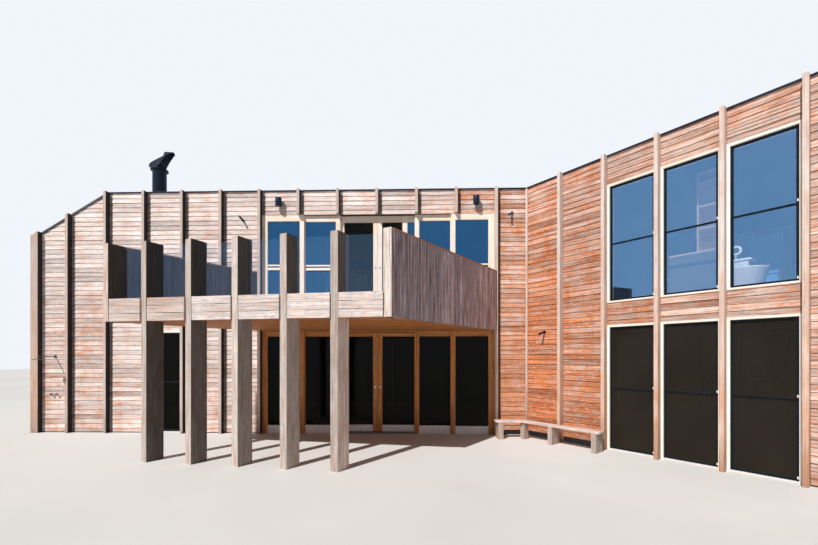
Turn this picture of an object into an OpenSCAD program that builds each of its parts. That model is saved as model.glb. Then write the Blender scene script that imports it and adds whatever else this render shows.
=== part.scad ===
/* [Plan of the two wings] */
// Module of the facades, from fin to fin
bay = 900; // [850:10:950]
// Angle that the right wing turns away from the left wing's line
turn = 50; // [44:1:56]
// Depth of both wings, from cladding face to cladding face
wing_depth = 6000; // [5400:50:6600]
// Distance from the inner corner to the first fin of the left wing
corner_gap = 700; // [600:10:800]
// Blind modules of the left wing between the door wall and the side window
pier_bays = 2; // [1:1:3]
// Blind modules of the left wing between the side window and the roof break
left_tail_bays = 1; // [1:1:3]
// Distance from the inner corner to the first fin of the right wing
right_gap = 850; // [800:10:900]
// Blind modules of the right wing next to the inner corner
right_corner_bays = 2; // [2:1:3]
// Window modules in each window group
window_bays = 3; // [3:1:4]
// Blind modules of the right wing between the windows and the roof break
right_tail_bays = 2; // [1:1:3]
// Width of the last, narrow module at each end
end_bay = 710; // [600:10:800]

/* [Walls and floors] */
// Thickness of the boards that cover the walls
clad_t = 20; // [14:1:28]
// Thickness of the framed wall behind the boards
wall_t = 180; // [140:5:220]
// Thickness of the ground floor's boards
floor_t = 30; // [24:1:40]
// Level of the upper floor
storey_h = 2700; // [2600:10:2800]
// Thickness of the upper floor
upper_floor_t = 250; // [200:10:300]
// Width of the open movement joint between the wings' slabs
slab_joint = 4; // [2:1:10]

/* [Roof] */
// Height of the capped parapet
parapet_h = 5600; // [5500:10:5800]
// Thickness of the metal capping
capping_t = 30; // [20:1:40]
// Distance that the metal edges stand proud of the boards
lip = 15; // [8:1:25]
// Depth of the flat roof's surface below the parapet
roof_drop = 100; // [80:5:160]
// Thickness of the flat roof
roof_t = 150; // [120:10:200]
// Pitch of the sloped roof ends, in degrees
end_pitch = 30.3; // [24:0.1:34]
// Thickness of the sloped roof ends, measured upright
slope_t = 52; // [45:1:80]

/* [Fins] */
// Width of a facade fin
fin_w = 65; // [50:1:90]
// Distance that the left wing's fins stand out
fin_d_left = 100; // [70:5:150]
// Distance that the right wing's fins stand out
fin_d_right = 125; // [90:5:170]
// Width of the corner boards that end each facade
blade_w = 115; // [90:5:140]
// Width of the batten in the inner corner
batten_w = 45; // [30:1:60]

/* [Windows] */
// Distance of the lower windows' and doors' heads below the upper floor
head_drop = 335; // [335:5:400]
// Height of the upper windows' underside over their floor
up_sill_h = 90; // [40:5:150]
// Height of the wall over the upper windows and doors, with its capping
head_band = 565; // [500:5:700]
// Face width of the outer timber frame
win_frame_w = 40; // [30:1:60]
// Height of the timber sill piece
win_sill_h = 30; // [20:1:50]
// Face width of the dark sash
sash_w = 32; // [25:1:50]
// Depth of the dark sash
sash_d = 45; // [35:1:55]
// Set-back of the dark sash from the boards' face
sash_in = 35; // [30:1:60]
// Height of the cross rail above an upper window's underside
cross_rail_up = 1100; // [900:10:1300]
// Height of the cross rail above a lower window's underside
low_rail_up = 1160; // [900:10:1300]
// Face height of the sash's cross rail
cross_rail_h = 28; // [20:1:50]
// Thickness of a pane
pane_t = 10; // [6:1:16]

/* [Door walls] */
// Height of the ground floor door panels' bottom rail
bottom_rail_h = 185; // [150:5:220]
// Height of the panels' top rail below the head
top_rail_h = 130; // [110:5:150]
// Face width of the door wall's jambs
jamb_w = 130; // [90:5:150]
// Face width of the posts between fixed panels
mullion_w = 100; // [80:5:110]
// Shift of those posts from the module lines towards the middle
mullion_shift = 60; // [40:5:80]
// Face width of the door stiles
stile_w = 105; // [80:5:120]
// Thickness of a door or panel
leaf_t = 45; // [38:1:55]
// Half of the clear space between the inner fixed panels
door_half = 860; // [820:5:880]
// Overlap of a door leaf behind the fixed panel
leaf_lap = 95; // [60:5:110]
// Space between the two door leaves
leaf_gap = 6; // [5:1:10]
// Thickness of the threshold
sill_t = 20; // [15:1:30]
// Radius of the leaves' rollers
roller_r = 14; // [10:1:18]
// Height of the door handles
handle_z = 1060; // [950:10:1150]
// Diameter of a door's round pull
pull_d = 44; // [30:2:80]
// Set-back of the upper doors from the boards' face
up_door_in = 130; // [115:1:140]
// Width of the fixed light beside the upper doors
side_light_w = 180; // [150:5:220]
// Height of the transom in the upper fixed panels above the floor
transom_up = 1040; // [900:10:1200]

/* [Balcony] */
// Distance from the first fin's axis to the corner of the last post, across
balcony_x = 2150; // [1900:10:2400]
// Reach of the last post's corner in front of the left wing
balcony_y = 3090; // [2800:10:3300]
// Skew of the balcony's front against the left wing, in degrees
front_skew = 8.1; // [5:0.1:11]
// Turn of the posts against the left wing, in degrees
post_turn = 25.5; // [20:0.5:30]
// Pitch of the balcony posts
post_pitch = 837; // [780:1:880]
// Pitch of the first, hanging post
first_pitch = 744; // [700:1:837]
// Width of a post
post_w = 145; // [120:5:170]
// Depth of a post
post_d = 290; // [240:5:320]
// Height of the posts and the side walls over the upper floor
guard_h = 1000; // [900:10:1100]
// Height of the balcony's floor with its soffit
balcony_t = 335; // [300:5:335]
// Thickness of the soffit boards
soffit_t = 20; // [15:1:30]
// Height of the fascia's upper edge over the upper floor
fascia_up = 50; // [20:5:100]
// Boards in the fascia
fascia_boards = 3; // [2:1:4]
// Open joint between two fascia boards
fascia_joint = 6; // [4:1:12]
// Thickness of a fascia board
fascia_t = 28; // [20:1:36]
// Set-back of the fascia from the posts' corners
fascia_in = 50; // [46:1:60]
// Distance of the balcony glass below the posts' tops
glass_drop = 30; // [20:5:150]
// Set-back of the balcony glass from the posts' corners
glass_in = 180; // [160:5:230]
// Thickness of the balcony glass
glass_t = 12; // [8:1:16]
// Thickness of the boarded side walls
side_t = 90; // [70:5:110]
// Thickness of the side walls' timber cap
side_cap_t = 25; // [18:1:35]

/* [Bench] */
// Height of the bench
bench_h = 395; // [360:5:460]
// Thickness of the bench seat
bench_t = 38; // [30:1:50]
// Distance of the seat's front edge from the boards' face
bench_d = 520; // [460:5:560]
// Width of the seat
seat_w = 185; // [160:5:240]
// Distance that the seat passes the last fin beside it
bench_past = 85; // [40:5:110]
// Width of a bench leg
bench_leg = 90; // [70:5:110]
// Depth of a bench leg
bench_leg_d = 270; // [200:5:290]
// Set-back of the legs from the seat's front edge
leg_in = 5; // [2:1:40]
// Size of the bearers between the legs and the fins
bearer = 45; // [35:1:60]

/* [Flue] */
// Distance of the flue from the inner corner, along the left wing
flue_t = 9218; // [8800:2:9400]
// Distance of the flue behind the front
flue_y = 1100; // [900:10:1500]
// Radius of the flue
flue_r = 162; // [150:1:180]
// Height of the flue's top
flue_h = 6640; // [6400:10:6800]
// Radius of the collar round the flue's top
collar_r = 205; // [190:1:230]
// Size of the cowl, as the radius that its outlines are drawn for
cowl_r = 178; // [160:1:190]
// Radius of the pin that the cowl turns on
pin_r = 12; // [8:0.5:20]
// Thickness of the cowl's vane
vane_t = 12; // [8:1:16]

/* [Small pieces] */
// Radius of a cylinder wall light
light_r = 70; // [50:1:80]
// Height of a cylinder wall light
light_h = 185; // [160:5:240]
// Distance of the wall lights' underside below the parapet
light_drop = 390; // [300:5:450]
// Distance of the small spots below the heads beside them
spot_drop = 60; // [30:5:90]
// Radius of a small spot
spot_r = 22; // [15:1:30]
// Height of the outdoor shower's arm
shower_z = 1770; // [1700:10:2100]
// Reach of the shower arm
shower_reach = 420; // [350:10:500]
// Radius of the shower rose
rose_r = 105; // [80:5:120]
// Height of the shower taps
tap_z = 890; // [800:10:1000]
// Width of the bathtub
tub_w = 700; // [650:10:760]
// Length of the bathtub
tub_l = 1500; // [1400:10:1600]
// Height of the bathtub
tub_h = 600; // [500:10:620]
// Distance from the window's fin to the bathtub's right end
tub_past = 330; // [200:10:400]
// Distance of the bathtub behind the wall
tub_back = 750; // [650:10:900]
// Height of the cabinet behind the middle upper window
cabinet_h = 890; // [800:10:950]
// Width of the cabinet
cabinet_w = 850; // [700:10:870]
// Width of the shelves on the cabinet
shelf_w = 420; // [300:10:500]
// Pitch of the shelves
shelf_pitch = 388; // [340:2:420]
// Depth of the cabinet and its shelves
shelf_d = 300; // [250:10:330]
// Distance of the cabinet behind the wall
cabinet_back = 330; // [250:10:360]
// Height of the washstand behind the bathtub
stand_h = 930; // [850:10:960]
// Width of the washstand
stand_w = 900; // [700:10:1000]
// Depth of the washstand
stand_d = 450; // [400:10:500]

/* [Hidden] */
$fn = 48;
eps = 1;

// Module lines of the left wing, counted from the inner corner
door_bays = 6;
function tl(j) = corner_gap + j * bay;
side_win = door_bays + pier_bays;
left_break = tl(side_win + 1 + left_tail_bays);
left_last = left_break + bay;
left_end = left_last + end_bay + fin_w / 2 + blade_w;

// Module lines of the right wing
function tr(k) = right_gap + (k - 1) * bay;
right_win = right_corner_bays;
right_break = tr(right_win + window_bays + right_tail_bays);
right_last = right_break + bay;
right_end = right_last + end_bay + fin_w / 2 + blade_w;

// The windows of the backs start three modules from the corner
back_win = 3;

// Clearance where walls meet on a slanted face
seat = 0.2;

// Depth of the walls' inner faces, and the mitre of both wings
wall_in = clad_t + wall_t;
half = fin_w / 2;
win_w = bay - fin_w;
function mitre(y) = -y * tan(turn / 2);

// Levels that follow from the floor and the parapet
door_head = storey_h - head_drop;
win_head = door_head;
soffit_z = storey_h - balcony_t;
up_win_sill = storey_h + up_sill_h;
up_win_head = parapet_h - head_band;
up_head = up_win_head;
light_z = parapet_h - light_drop;
post_h = storey_h + guard_h;
fascia_top = storey_h + fascia_up;
glass_top = post_h - glass_drop;

// Heights of the roof
wall_top = parapet_h - capping_t;
roof_top = parapet_h - roof_drop;
function top_z(t, brk) = parapet_h - max(0, t - brk) * tan(end_pitch);
function under_z(t, brk) = top_z(t, brk) - slope_t;
under_run = (parapet_h - slope_t - roof_top) / tan(end_pitch);

// Middle of the model's box on the ground, which is the origin
box_x0 = -left_end;
box_x1 = right_end * cos(turn) + (wing_depth + fin_d_left - 5) * sin(turn);
box_y0 = -right_end * sin(turn) - (fin_d_right - 5) * cos(turn);
box_y1 = wing_depth + fin_d_left;
origin_x = (box_x0 + box_x1) / 2;
origin_y = (box_y0 + box_y1) / 2;

// Colours of the house
board_pale = "#d9c4b8";
board_warm = "#c48a66";
fin_grey = "#cfc6be";
frame_honey = "#b9712f";
frame_cream = "#e6d3b4";
metal_black = "#1b1c1f";
glass_blue = [0.35, 0.48, 0.62, 0.5];

module place() {
  translate([-origin_x, -origin_y, 0]) children();
}

// Both wings are drawn with their facade on y = 0 and their length along x
module left_wing() {
  place() mirror([1, 0, 0]) children();
}

module right_wing() {
  place() rotate([0, 0, -turn]) children();
}

// What is drawn at a facade is turned to the back of its wing
module at_back() {
  translate([0, wing_depth, 0]) mirror([0, 1, 0]) children();
}

// An outline of length and height, drawn through from depth y0 to y1
module across(y0, y1) {
  translate([0, y1, 0]) rotate([90, 0, 0]) linear_extrude(y1 - y0) children();
}

module block(t0, t1, y0, y1, z0, z1) {
  translate([t0, y0, z0]) cube([t1 - t0, y1 - y0, z1 - z0]);
}

// Slab inside the walls of one wing, with its mitred end at the corner
module wing_slab(t1, z0, z1) {
  y0 = wall_in;
  y1 = wing_depth - wall_in;
  gap = slab_joint / 2;
  translate([0, 0, z0]) linear_extrude(z1 - z0)
    polygon([[mitre(y0) + gap, y0], [t1, y0], [t1, y1], [mitre(y1) + gap, y1]]);
}

module both_slabs(t_left, t_right, z0, z1) {
  left_wing() wing_slab(t_left, z0, z1);
  right_wing() wing_slab(t_right, z0, z1);
}

module ground_floor() {
  color("#8a6f58") both_slabs(left_end - wall_in, right_end - wall_in, 0, floor_t);
}

module upper_floor() {
  color("#a58a70")
    both_slabs(left_end - wall_in, right_end - wall_in, storey_h - upper_floor_t, storey_h);
}

module flat_roof() {
  color("#3a3b3e")
    both_slabs(left_break + under_run, right_break + under_run, roof_top - roof_t, roof_top);
}

// Sloped end of the roof, cut round the fins, with a thin edge over the corner boards
module roof_end(brk, end, fin_d) {
  difference() {
    across(-lip, wing_depth + lip)
      polygon([[end, top_z(end, brk)], [brk, parapet_h], [brk, roof_top],
               [brk + under_run, roof_top], [end, under_z(end, brk)]]);
    for (t = [brk, brk + bay, brk + bay + end_bay]) {
      block(t - half, t + half, -fin_d, clad_t, 0, parapet_h + eps);
      at_back() block(t - half, t + half, -fin_d_left, clad_t, 0, parapet_h + eps);
    }
    block(end - blade_w, end + eps, -fin_d, clad_t, 0, parapet_h);
    at_back() block(end - blade_w, end + eps, -fin_d_left, clad_t, 0, parapet_h);
  }
}

module sloped_roof_ends() {
  color(metal_black) {
    left_wing() roof_end(left_break, left_end, fin_d_left);
    right_wing() roof_end(right_break, right_end, fin_d_right);
  }
}

// Capping over the straight part of one wall, cut round the fins that rise beside it
module capping_strip(brk, fins, y0, y1, fin_y0, fin_y1) {
  gap = slab_joint / 2;
  translate([0, 0, wall_top]) linear_extrude(capping_t) difference() {
    polygon([[mitre(y0) + gap, y0], [brk, y0], [brk, y1], [mitre(y1) + gap, y1]]);
    for (t = fins) translate([t - half, fin_y0]) square([fin_w, fin_y1 - fin_y0]);
  }
}

module front_capping(brk, fins) {
  capping_strip(brk, fins, -lip, wall_in + 5, -lip - eps, clad_t);
}

module back_capping(brk, fins) {
  y = wing_depth;
  capping_strip(brk, fins, y - wall_in - 5, y + lip, y - clad_t, y + lip + eps);
}

module parapet_capping() {
  color(metal_black) {
    left_wing() {
      front_capping(left_break, left_front_fins());
      back_capping(left_break, left_back_fins());
    }
    right_wing() {
      front_capping(right_break, right_front_fins());
      back_capping(right_break, right_back_fins());
    }
  }
}

// Fin lines of each facade, up to the roof break
function left_front_fins() = [for (j = [0 : side_win + 1 + left_tail_bays]) tl(j)];
function right_front_fins() = [for (k = [1 : right_win + window_bays + right_tail_bays]) tr(k)];
function left_back_fins() = [for (j = [-2 : side_win + 1 + left_tail_bays]) tl(j)];
function right_back_fins() = [for (k = [-2 : right_win + window_bays + right_tail_bays]) tr(k)];
function tail_fins(brk) = [brk + bay, brk + bay + end_bay];

// Wall beside the inner corner, mitred there
module corner_wall(t1) {
  linear_extrude(wall_top)
    polygon([[mitre(clad_t) + seat, clad_t], [t1, clad_t], [t1, wall_in],
             [mitre(wall_in) + seat, wall_in]]);
}

module back_corner_wall(t1) {
  y0 = wing_depth - wall_in;
  y1 = wing_depth - clad_t;
  linear_extrude(wall_top)
    polygon([[mitre(y0) + seat, y0], [t1, y0], [t1, y1], [mitre(y1) + seat, y1]]);
}

// Wall under the sloped roof end
module tail_wall(t0, brk, end) {
  t1 = end - clad_t;
  across(clad_t, wall_in)
    polygon([[t0, 0], [t1, 0], [t1, under_z(t1, brk) - seat], [brk + under_run, roof_top - seat],
             [brk, roof_top - seat], [brk, wall_top], [t0, wall_top]]);
}

module left_front_piers() {
  color(board_pale) left_wing() {
    corner_wall(tl(0) + half);
    block(tl(door_bays) - half, tl(side_win) + half, clad_t, wall_in, 0, wall_top);
    tail_wall(tl(side_win + 1) - half, left_break, left_end);
  }
}

module left_front_bands() {
  color(board_pale) left_wing() {
    block(tl(side_win) + half, tl(side_win + 1) - half, clad_t, wall_in, win_head, wall_top);
    block(tl(0) + half, tl(door_bays) - half, clad_t, wall_in, door_head, storey_h);
    block(tl(0) + half, tl(door_bays) - half, clad_t, wall_in, up_head, wall_top);
  }
}

// Bands of wall under and over a group of upper windows
module window_bands(t0, t1) {
  block(t0, t1, clad_t, wall_in, win_head, up_win_sill);
  block(t0, t1, clad_t, wall_in, up_win_head, wall_top);
}

module right_front_piers() {
  color(board_warm) right_wing() {
    corner_wall(tr(right_win) + half);
    tail_wall(tr(right_win + window_bays) - half, right_break, right_end);
  }
}

module right_front_bands() {
  color(board_warm) right_wing()
    window_bands(tr(right_win) + half, tr(right_win + window_bays) - half);
}

module left_back_piers() {
  color(board_pale) left_wing() {
    back_corner_wall(tl(back_win) + half);
    at_back() tail_wall(tl(back_win + window_bays) - half, left_break, left_end);
  }
}

module left_back_bands() {
  color(board_pale) left_wing() at_back()
    window_bands(tl(back_win) + half, tl(back_win + window_bays) - half);
}

module right_back_piers() {
  color(board_warm) right_wing() {
    back_corner_wall(tr(right_win) + half);
    at_back() tail_wall(tr(right_win + window_bays) - half, right_break, right_end);
  }
}

module right_back_bands() {
  color(board_warm) right_wing() at_back()
    window_bands(tr(right_win) + half, tr(right_win + window_bays) - half);
}

module end_wall(brk, end) {
  t0 = end - wall_in;
  t1 = end - clad_t;
  across(wall_in, wing_depth - wall_in)
    polygon([[t0, 0], [t1, 0], [t1, under_z(t1, brk) - seat], [t0, under_z(t0, brk) - seat]]);
}

module end_walls() {
  color(board_pale) left_wing() end_wall(left_break, left_end);
  color(board_warm) right_wing() end_wall(right_break, right_end);
}

// Fin whose head follows the roof line
module fin(t, brk, fin_d, z0) {
  across(-fin_d, clad_t)
    polygon([[t - half, z0], [t + half, z0], [t + half, top_z(t + half, brk)],
             [t - half, top_z(t - half, brk)]]);
}

// Stud behind a fin that stands between two windows
module window_stud(t) {
  block(t - half, t + half, clad_t, wall_in, 0, win_head);
  block(t - half, t + half, clad_t, wall_in, up_win_sill, up_win_head);
}

module left_fins() {
  color(fin_grey) left_wing() {
    for (t = concat(left_front_fins(), tail_fins(left_break))) {
      inside = t > tl(0) + eps && t < tl(door_bays) - eps;
      fin(t, left_break, fin_d_left, inside ? up_head : 0);
    }
  }
}

module right_fins() {
  color(fin_grey) right_wing() {
    for (t = concat(right_front_fins(), tail_fins(right_break))) {
      fin(t, right_break, fin_d_right, 0);
    }
    for (k = [right_win + 1 : right_win + window_bays - 1]) window_stud(tr(k));
  }
}

module back_fins() {
  color(fin_grey) {
    left_wing() at_back() {
      for (t = concat(left_back_fins(), tail_fins(left_break))) {
        fin(t, left_break, fin_d_left, 0);
      }
      for (j = [back_win + 1 : back_win + window_bays - 1]) window_stud(tl(j));
    }
    right_wing() at_back() {
      for (t = concat(right_back_fins(), tail_fins(right_break))) {
        fin(t, right_break, fin_d_left, 0);
      }
      for (k = [right_win + 1 : right_win + window_bays - 1]) window_stud(tr(k));
    }
  }
}

// Board that ends a facade, as deep as its fins
module blade(brk, end, fin_d) {
  across(-fin_d + 5, clad_t)
    polygon([[end - blade_w, 0], [end, 0], [end, top_z(end, brk)],
             [end - blade_w, top_z(end - blade_w, brk)]]);
}

// Batten in the inner corner, with its back fitted to both walls
module batten_plan() {
  w = batten_w / 2;
  back = clad_t / cos(turn / 2);
  rotate(-turn / 2) polygon([[-w, -w], [w, -w], [w, back - w * tan(turn / 2)], [0, back],
                             [-w, back - w * tan(turn / 2)]]);
}

module corner_boards() {
  color("#b9aea4") {
    left_wing() {
      blade(left_break, left_end, fin_d_left);
      at_back() blade(left_break, left_end, fin_d_left);
    }
    right_wing() {
      blade(right_break, right_end, fin_d_right);
      at_back() blade(right_break, right_end, fin_d_left);
    }
    place() linear_extrude(wall_top) batten_plan();
  }
}

// One fixed pair of panels of a door wall: jamb, front panel, and the panel behind it
door_mid = tl(door_bays / 2);
front_in = 10;
front_d = 50;
side_mullion = tl(0) + bay + mullion_shift + mullion_w / 2;
rear_t0 = side_mullion - mullion_w + 10;
rear_y0 = front_in + front_d;
rear_y1 = rear_y0 + leaf_t;

module ring(t0, t1, y0, y1, z0, z1, left, right, bottom, top) {
  difference() {
    block(t0, t1, y0, y1, z0, z1);
    block(t0 + left, t1 - right, y0 - eps, y1 + eps, z0 + bottom, z1 - top);
  }
}

module panel_pair(z0, z1, bottom, top) {
  ring(tl(0) + half, side_mullion, front_in, rear_y0, z0, z1, jamb_w, mullion_w, bottom, top);
  ring(rear_t0, door_mid - door_half, rear_y0, rear_y1, z0, z1, stile_w, stile_w, bottom, top);
}

module mirrored_pair() {
  children();
  translate([2 * door_mid, 0, 0]) mirror([1, 0, 0]) children();
}

// The leaves run behind the rear panels
leaf_y0 = rear_y1 + 10;
leaf_y1 = leaf_y0 + leaf_t;
leaf_w = door_half + leaf_lap - leaf_gap / 2;
leaf_z0 = sill_t + roller_r;
leaf_z1 = door_head - 40;

module door_wall_sides() {
  color(frame_honey) left_wing() mirrored_pair()
    panel_pair(0, door_head, bottom_rail_h, top_rail_h);
}

// Threshold or head of the door wall, behind and between the fixed panels
module door_board(z0, z1) {
  block(tl(0) + half, tl(door_bays) - half, rear_y1, wall_in, z0, z1);
  block(door_mid - door_half, door_mid + door_half, front_in, rear_y1, z0, z1);
  mirrored_pair() block(tl(0) + half, rear_t0, rear_y0, rear_y1, z0, z1);
}

module door_tracks() {
  color(frame_honey) left_wing() {
    door_board(0, sill_t);
    door_board(door_head - 30, door_head);
  }
}

// A leaf is drawn to the larger side of the middle, on two rollers
module leaf() {
  t0 = door_mid + leaf_gap / 2;
  ring(t0, t0 + leaf_w, leaf_y0, leaf_y1, leaf_z0, leaf_z1, stile_w, stile_w,
       bottom_rail_h - leaf_z0, leaf_z1 - door_head + top_rail_h);
  for (t = [t0 + 2 * stile_w, t0 + leaf_w - 2 * stile_w]) {
    translate([t, (leaf_y0 + leaf_y1) / 2 + 10, sill_t + 0.3 + roller_r])
      rotate([90, 0, 0]) cylinder(r = roller_r, h = 20);
  }
}

module leaf_pane() {
  t0 = door_mid + leaf_gap / 2;
  y = (leaf_y0 + leaf_y1 - pane_t) / 2;
  block(t0 + stile_w, t0 + leaf_w - stile_w, y, y + pane_t, bottom_rail_h, door_head - top_rail_h);
}

// Pull: a round cup on the meeting stile
module leaf_pull() {
  t = door_mid + leaf_gap / 2 + stile_w / 2;
  translate([t, leaf_y0, handle_z]) rotate([90, 0, 0])
    difference() {
      cylinder(d = pull_d, h = 8, $fn = 32);
      translate([0, 0, 3]) cylinder(d1 = pull_d - 16, d2 = pull_d - 8, h = 5 + eps, $fn = 32);
    }
}

module to_right_leaf() {
  translate([2 * door_mid, 0, 0]) mirror([1, 0, 0]) children();
}

module left_door() {
  color(frame_honey) left_wing() leaf();
}

module left_door_glass() {
  color(glass_blue) left_wing() leaf_pane();
}

module left_door_pull() {
  color("silver") left_wing() leaf_pull();
}

module right_door() {
  color(frame_honey) left_wing() to_right_leaf() leaf();
}

module right_door_glass() {
  color(glass_blue) left_wing() to_right_leaf() leaf_pane();
}

module right_door_pull() {
  color("silver") left_wing() to_right_leaf() leaf_pull();
}

// Upper storey: fixed panels with a transom, and a door pair that nothing opens
up_bottom = 60;
up_top = 145;
transom_h = 110;
up_door_y1 = up_door_in + leaf_t;
up_t0 = door_mid - door_half;
up_t1 = door_mid + door_half;

module transom(t0, t1, y0, y1) {
  z = storey_h + transom_up;
  block(t0, t1, y0, y1, z, z + transom_h);
}

module upper_door_wall() {
  color(frame_cream) left_wing() {
    mirrored_pair() {
      panel_pair(storey_h, up_head, up_bottom, up_top);
      block(up_t0 - stile_w, up_t0, rear_y1, up_door_in, storey_h, up_head);
      transom(tl(0) + half + jamb_w, side_mullion - mullion_w, front_in, rear_y0);
      transom(rear_t0 + stile_w, up_t0 - stile_w, rear_y0, rear_y1);
    }
  }
}

module upper_doors() {
  light_t = up_t0 + side_light_w;
  color(frame_cream) left_wing() {
    ring(up_t0 - stile_w, light_t, up_door_in, up_door_y1, storey_h, up_head,
         stile_w, 10, up_bottom, up_top);
    ring(light_t, door_mid, up_door_in, up_door_y1, storey_h, up_head,
         stile_w, stile_w, up_bottom, up_top);
    ring(door_mid, up_t1 + stile_w, up_door_in, up_door_y1, storey_h, up_head,
         stile_w, stile_w + 80, up_bottom, up_top);
    block(up_t0, up_t1, front_in, up_door_in, storey_h, storey_h + 30);
  }
}

// A window between two fins: timber frame, dark sash with a cross rail, two panes
module window_frame(t0, z0, z1) {
  ring(t0, t0 + win_w, 0, wall_in, z0, z1, win_frame_w, win_frame_w, win_sill_h, win_frame_w);
}

module window_sash(t0, z0, z1, rail_up) {
  a = t0 + win_frame_w;
  b = t0 + win_w - win_frame_w;
  c = z0 + win_sill_h;
  d = z1 - win_frame_w;
  ring(a, b, sash_in, sash_in + sash_d, c, d, sash_w, sash_w, sash_w, sash_w);
  block(a + sash_w, b - sash_w, sash_in, sash_in + sash_d,
        z0 + rail_up, z0 + rail_up + cross_rail_h);
}

module window_panes(t0, z0, z1, rail_up) {
  a = t0 + win_frame_w + sash_w;
  b = t0 + win_w - win_frame_w - sash_w;
  y = sash_in + (sash_d - pane_t) / 2;
  rail = z0 + rail_up;
  block(a, b, y, y + pane_t, z0 + win_sill_h + sash_w, rail);
  block(a, b, y, y + pane_t, rail + cross_rail_h, z1 - win_frame_w - sash_w);
}

// Every lower or upper window, as what is drawn for one
module each_window(lower, upper) {
  if (lower) left_wing() translate([tl(side_win) + half, 0, 0]) children();
  right_wing() for (k = [right_win : right_win + window_bays - 1])
    translate([tr(k) + half, 0, 0]) children();
  left_wing() at_back() for (j = [back_win : back_win + window_bays - 1])
    translate([tl(j) + half, 0, 0]) children();
  right_wing() at_back() for (k = [right_win : right_win + window_bays - 1])
    translate([tr(k) + half, 0, 0]) children();
}

module window_frames() {
  color(frame_cream) {
    each_window(true, false) window_frame(0, 0, win_head);
    each_window(false, true) window_frame(0, up_win_sill, up_win_head);
  }
}

module window_sashes() {
  color(metal_black) {
    each_window(true, false) window_sash(0, 0, win_head, low_rail_up);
    each_window(false, true) window_sash(0, up_win_sill, up_win_head, cross_rail_up);
  }
}

// Panes of the fixed panels in a door wall
module panel_panes(z0, z1) {
  yf = front_in + (front_d - pane_t) / 2;
  yr = rear_y0 + (leaf_t - pane_t) / 2;
  block(tl(0) + half + jamb_w, side_mullion - mullion_w, yf, yf + pane_t, z0, z1);
  block(rear_t0 + stile_w, up_t0 - stile_w, yr, yr + pane_t, z0, z1);
}

module ground_glass() {
  color(glass_blue) {
    each_window(true, false) window_panes(0, 0, win_head, low_rail_up);
    left_wing() mirrored_pair() panel_panes(bottom_rail_h, door_head - top_rail_h);
  }
}

module upper_glass() {
  z0 = storey_h + up_bottom;
  z1 = up_head - up_top;
  zt = storey_h + transom_up;
  y = up_door_in + (leaf_t - pane_t) / 2;
  light_t = up_t0 + side_light_w;
  color(glass_blue) {
    each_window(false, true) window_panes(0, up_win_sill, up_win_head, cross_rail_up);
    left_wing() {
      mirrored_pair() {
        panel_panes(z0, zt);
        panel_panes(zt + transom_h, z1);
      }
      block(up_t0, light_t - 10, y, y + pane_t, z0, z1);
      block(light_t + stile_w, door_mid - stile_w, y, y + pane_t, z0, z1);
      block(door_mid + stile_w, up_t1 - 80, y, y + pane_t, z0, z1);
    }
  }
}

// Balcony points in plan: the near right corner of each post, from the hanging first one
front_dir = [cos(front_skew), -sin(front_skew)];
front_nrm = [sin(front_skew), cos(front_skew)];
post_pos = [-tl(0) - balcony_x, -balcony_y];
posts = 7;
function post_at(k) =
  post_pos - front_dir * (k == 0 ? 5 * post_pitch + first_pitch : (posts - 1 - k) * post_pitch);

module post_plan(k, grow) {
  translate(post_at(k)) rotate(-post_turn)
    translate([-post_w - grow, -grow]) square([post_w + 2 * grow, post_d + 2 * grow]);
}

module all_post_plans() {
  for (k = [0 : posts - 1]) post_plan(k, 0);
}

// The side walls run from the end posts to the fins beside the door wall
side_run = [-tl(0) + 6, -fin_d_left] - post_at(posts - 1);
side_len = norm(side_run);
side_dir = side_run / side_len;
side_nrm = [-side_dir[1], side_dir[0]];
left_corner = post_at(0) + post_w * [-cos(post_turn), sin(post_turn)];
right_corner = post_at(posts - 1);

module strip(from, dir, len, nrm, d0, d1) {
  polygon([from + nrm * d0, from + dir * len + nrm * d0,
           from + dir * len + nrm * d1, from + nrm * d1]);
}

// Stretch between the end posts, set back by d0 to d1
module front_strip(d0, d1) {
  len = norm(post_at(posts - 1) - post_at(0));
  difference() {
    strip(post_at(0), front_dir, len, front_nrm, d0, d1);
    all_post_plans();
  }
}

module side_plan(cap) {
  difference() {
    union() {
      strip(right_corner + side_dir * 60, side_dir, side_len + 340, side_nrm, -cap, side_t + cap);
      strip(left_corner + side_dir * 60, side_dir, side_len + 340, -side_nrm, -cap, side_t + cap);
    }
    all_post_plans();
    for (t = [tl(0), tl(door_bays)]) translate([-t - half, -fin_d_left]) square([4 * fin_w, balcony_y]);
    translate([-tl(door_bays) - bay, clad_t]) square([tl(door_bays) + bay, balcony_y]);
  }
}

// Floor outline between the side walls and the fascia
module floor_plan() {
  back = clad_t;
  function at_y(from, y) = from + side_dir * ((y - from[1]) / side_dir[1]);
  difference() {
    polygon([at_y(left_corner - side_nrm * side_t, back),
             left_corner - side_nrm * side_t + side_dir * 60,
             left_corner + front_nrm * (fascia_in + fascia_t) + front_dir * post_w,
             right_corner + front_nrm * (fascia_in + fascia_t),
             right_corner + side_nrm * side_t + side_dir * 60,
             at_y(right_corner + side_nrm * side_t, back)]);
    all_post_plans();
    side_plan(0);
    front_strip(0, fascia_in + fascia_t);
    for (t = [tl(0), tl(door_bays)]) translate([-t - half, -fin_d_left])
      square([fin_w, fin_d_left + clad_t + eps]);
  }
}

module balcony_floor() {
  z = soffit_z + soffit_t;
  color("#9a7b5f") place() translate([0, 0, z]) linear_extrude(storey_h - z) floor_plan();
}

module balcony_soffit() {
  color("#a8642f") place() translate([0, 0, soffit_z]) linear_extrude(soffit_t) floor_plan();
}

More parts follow.
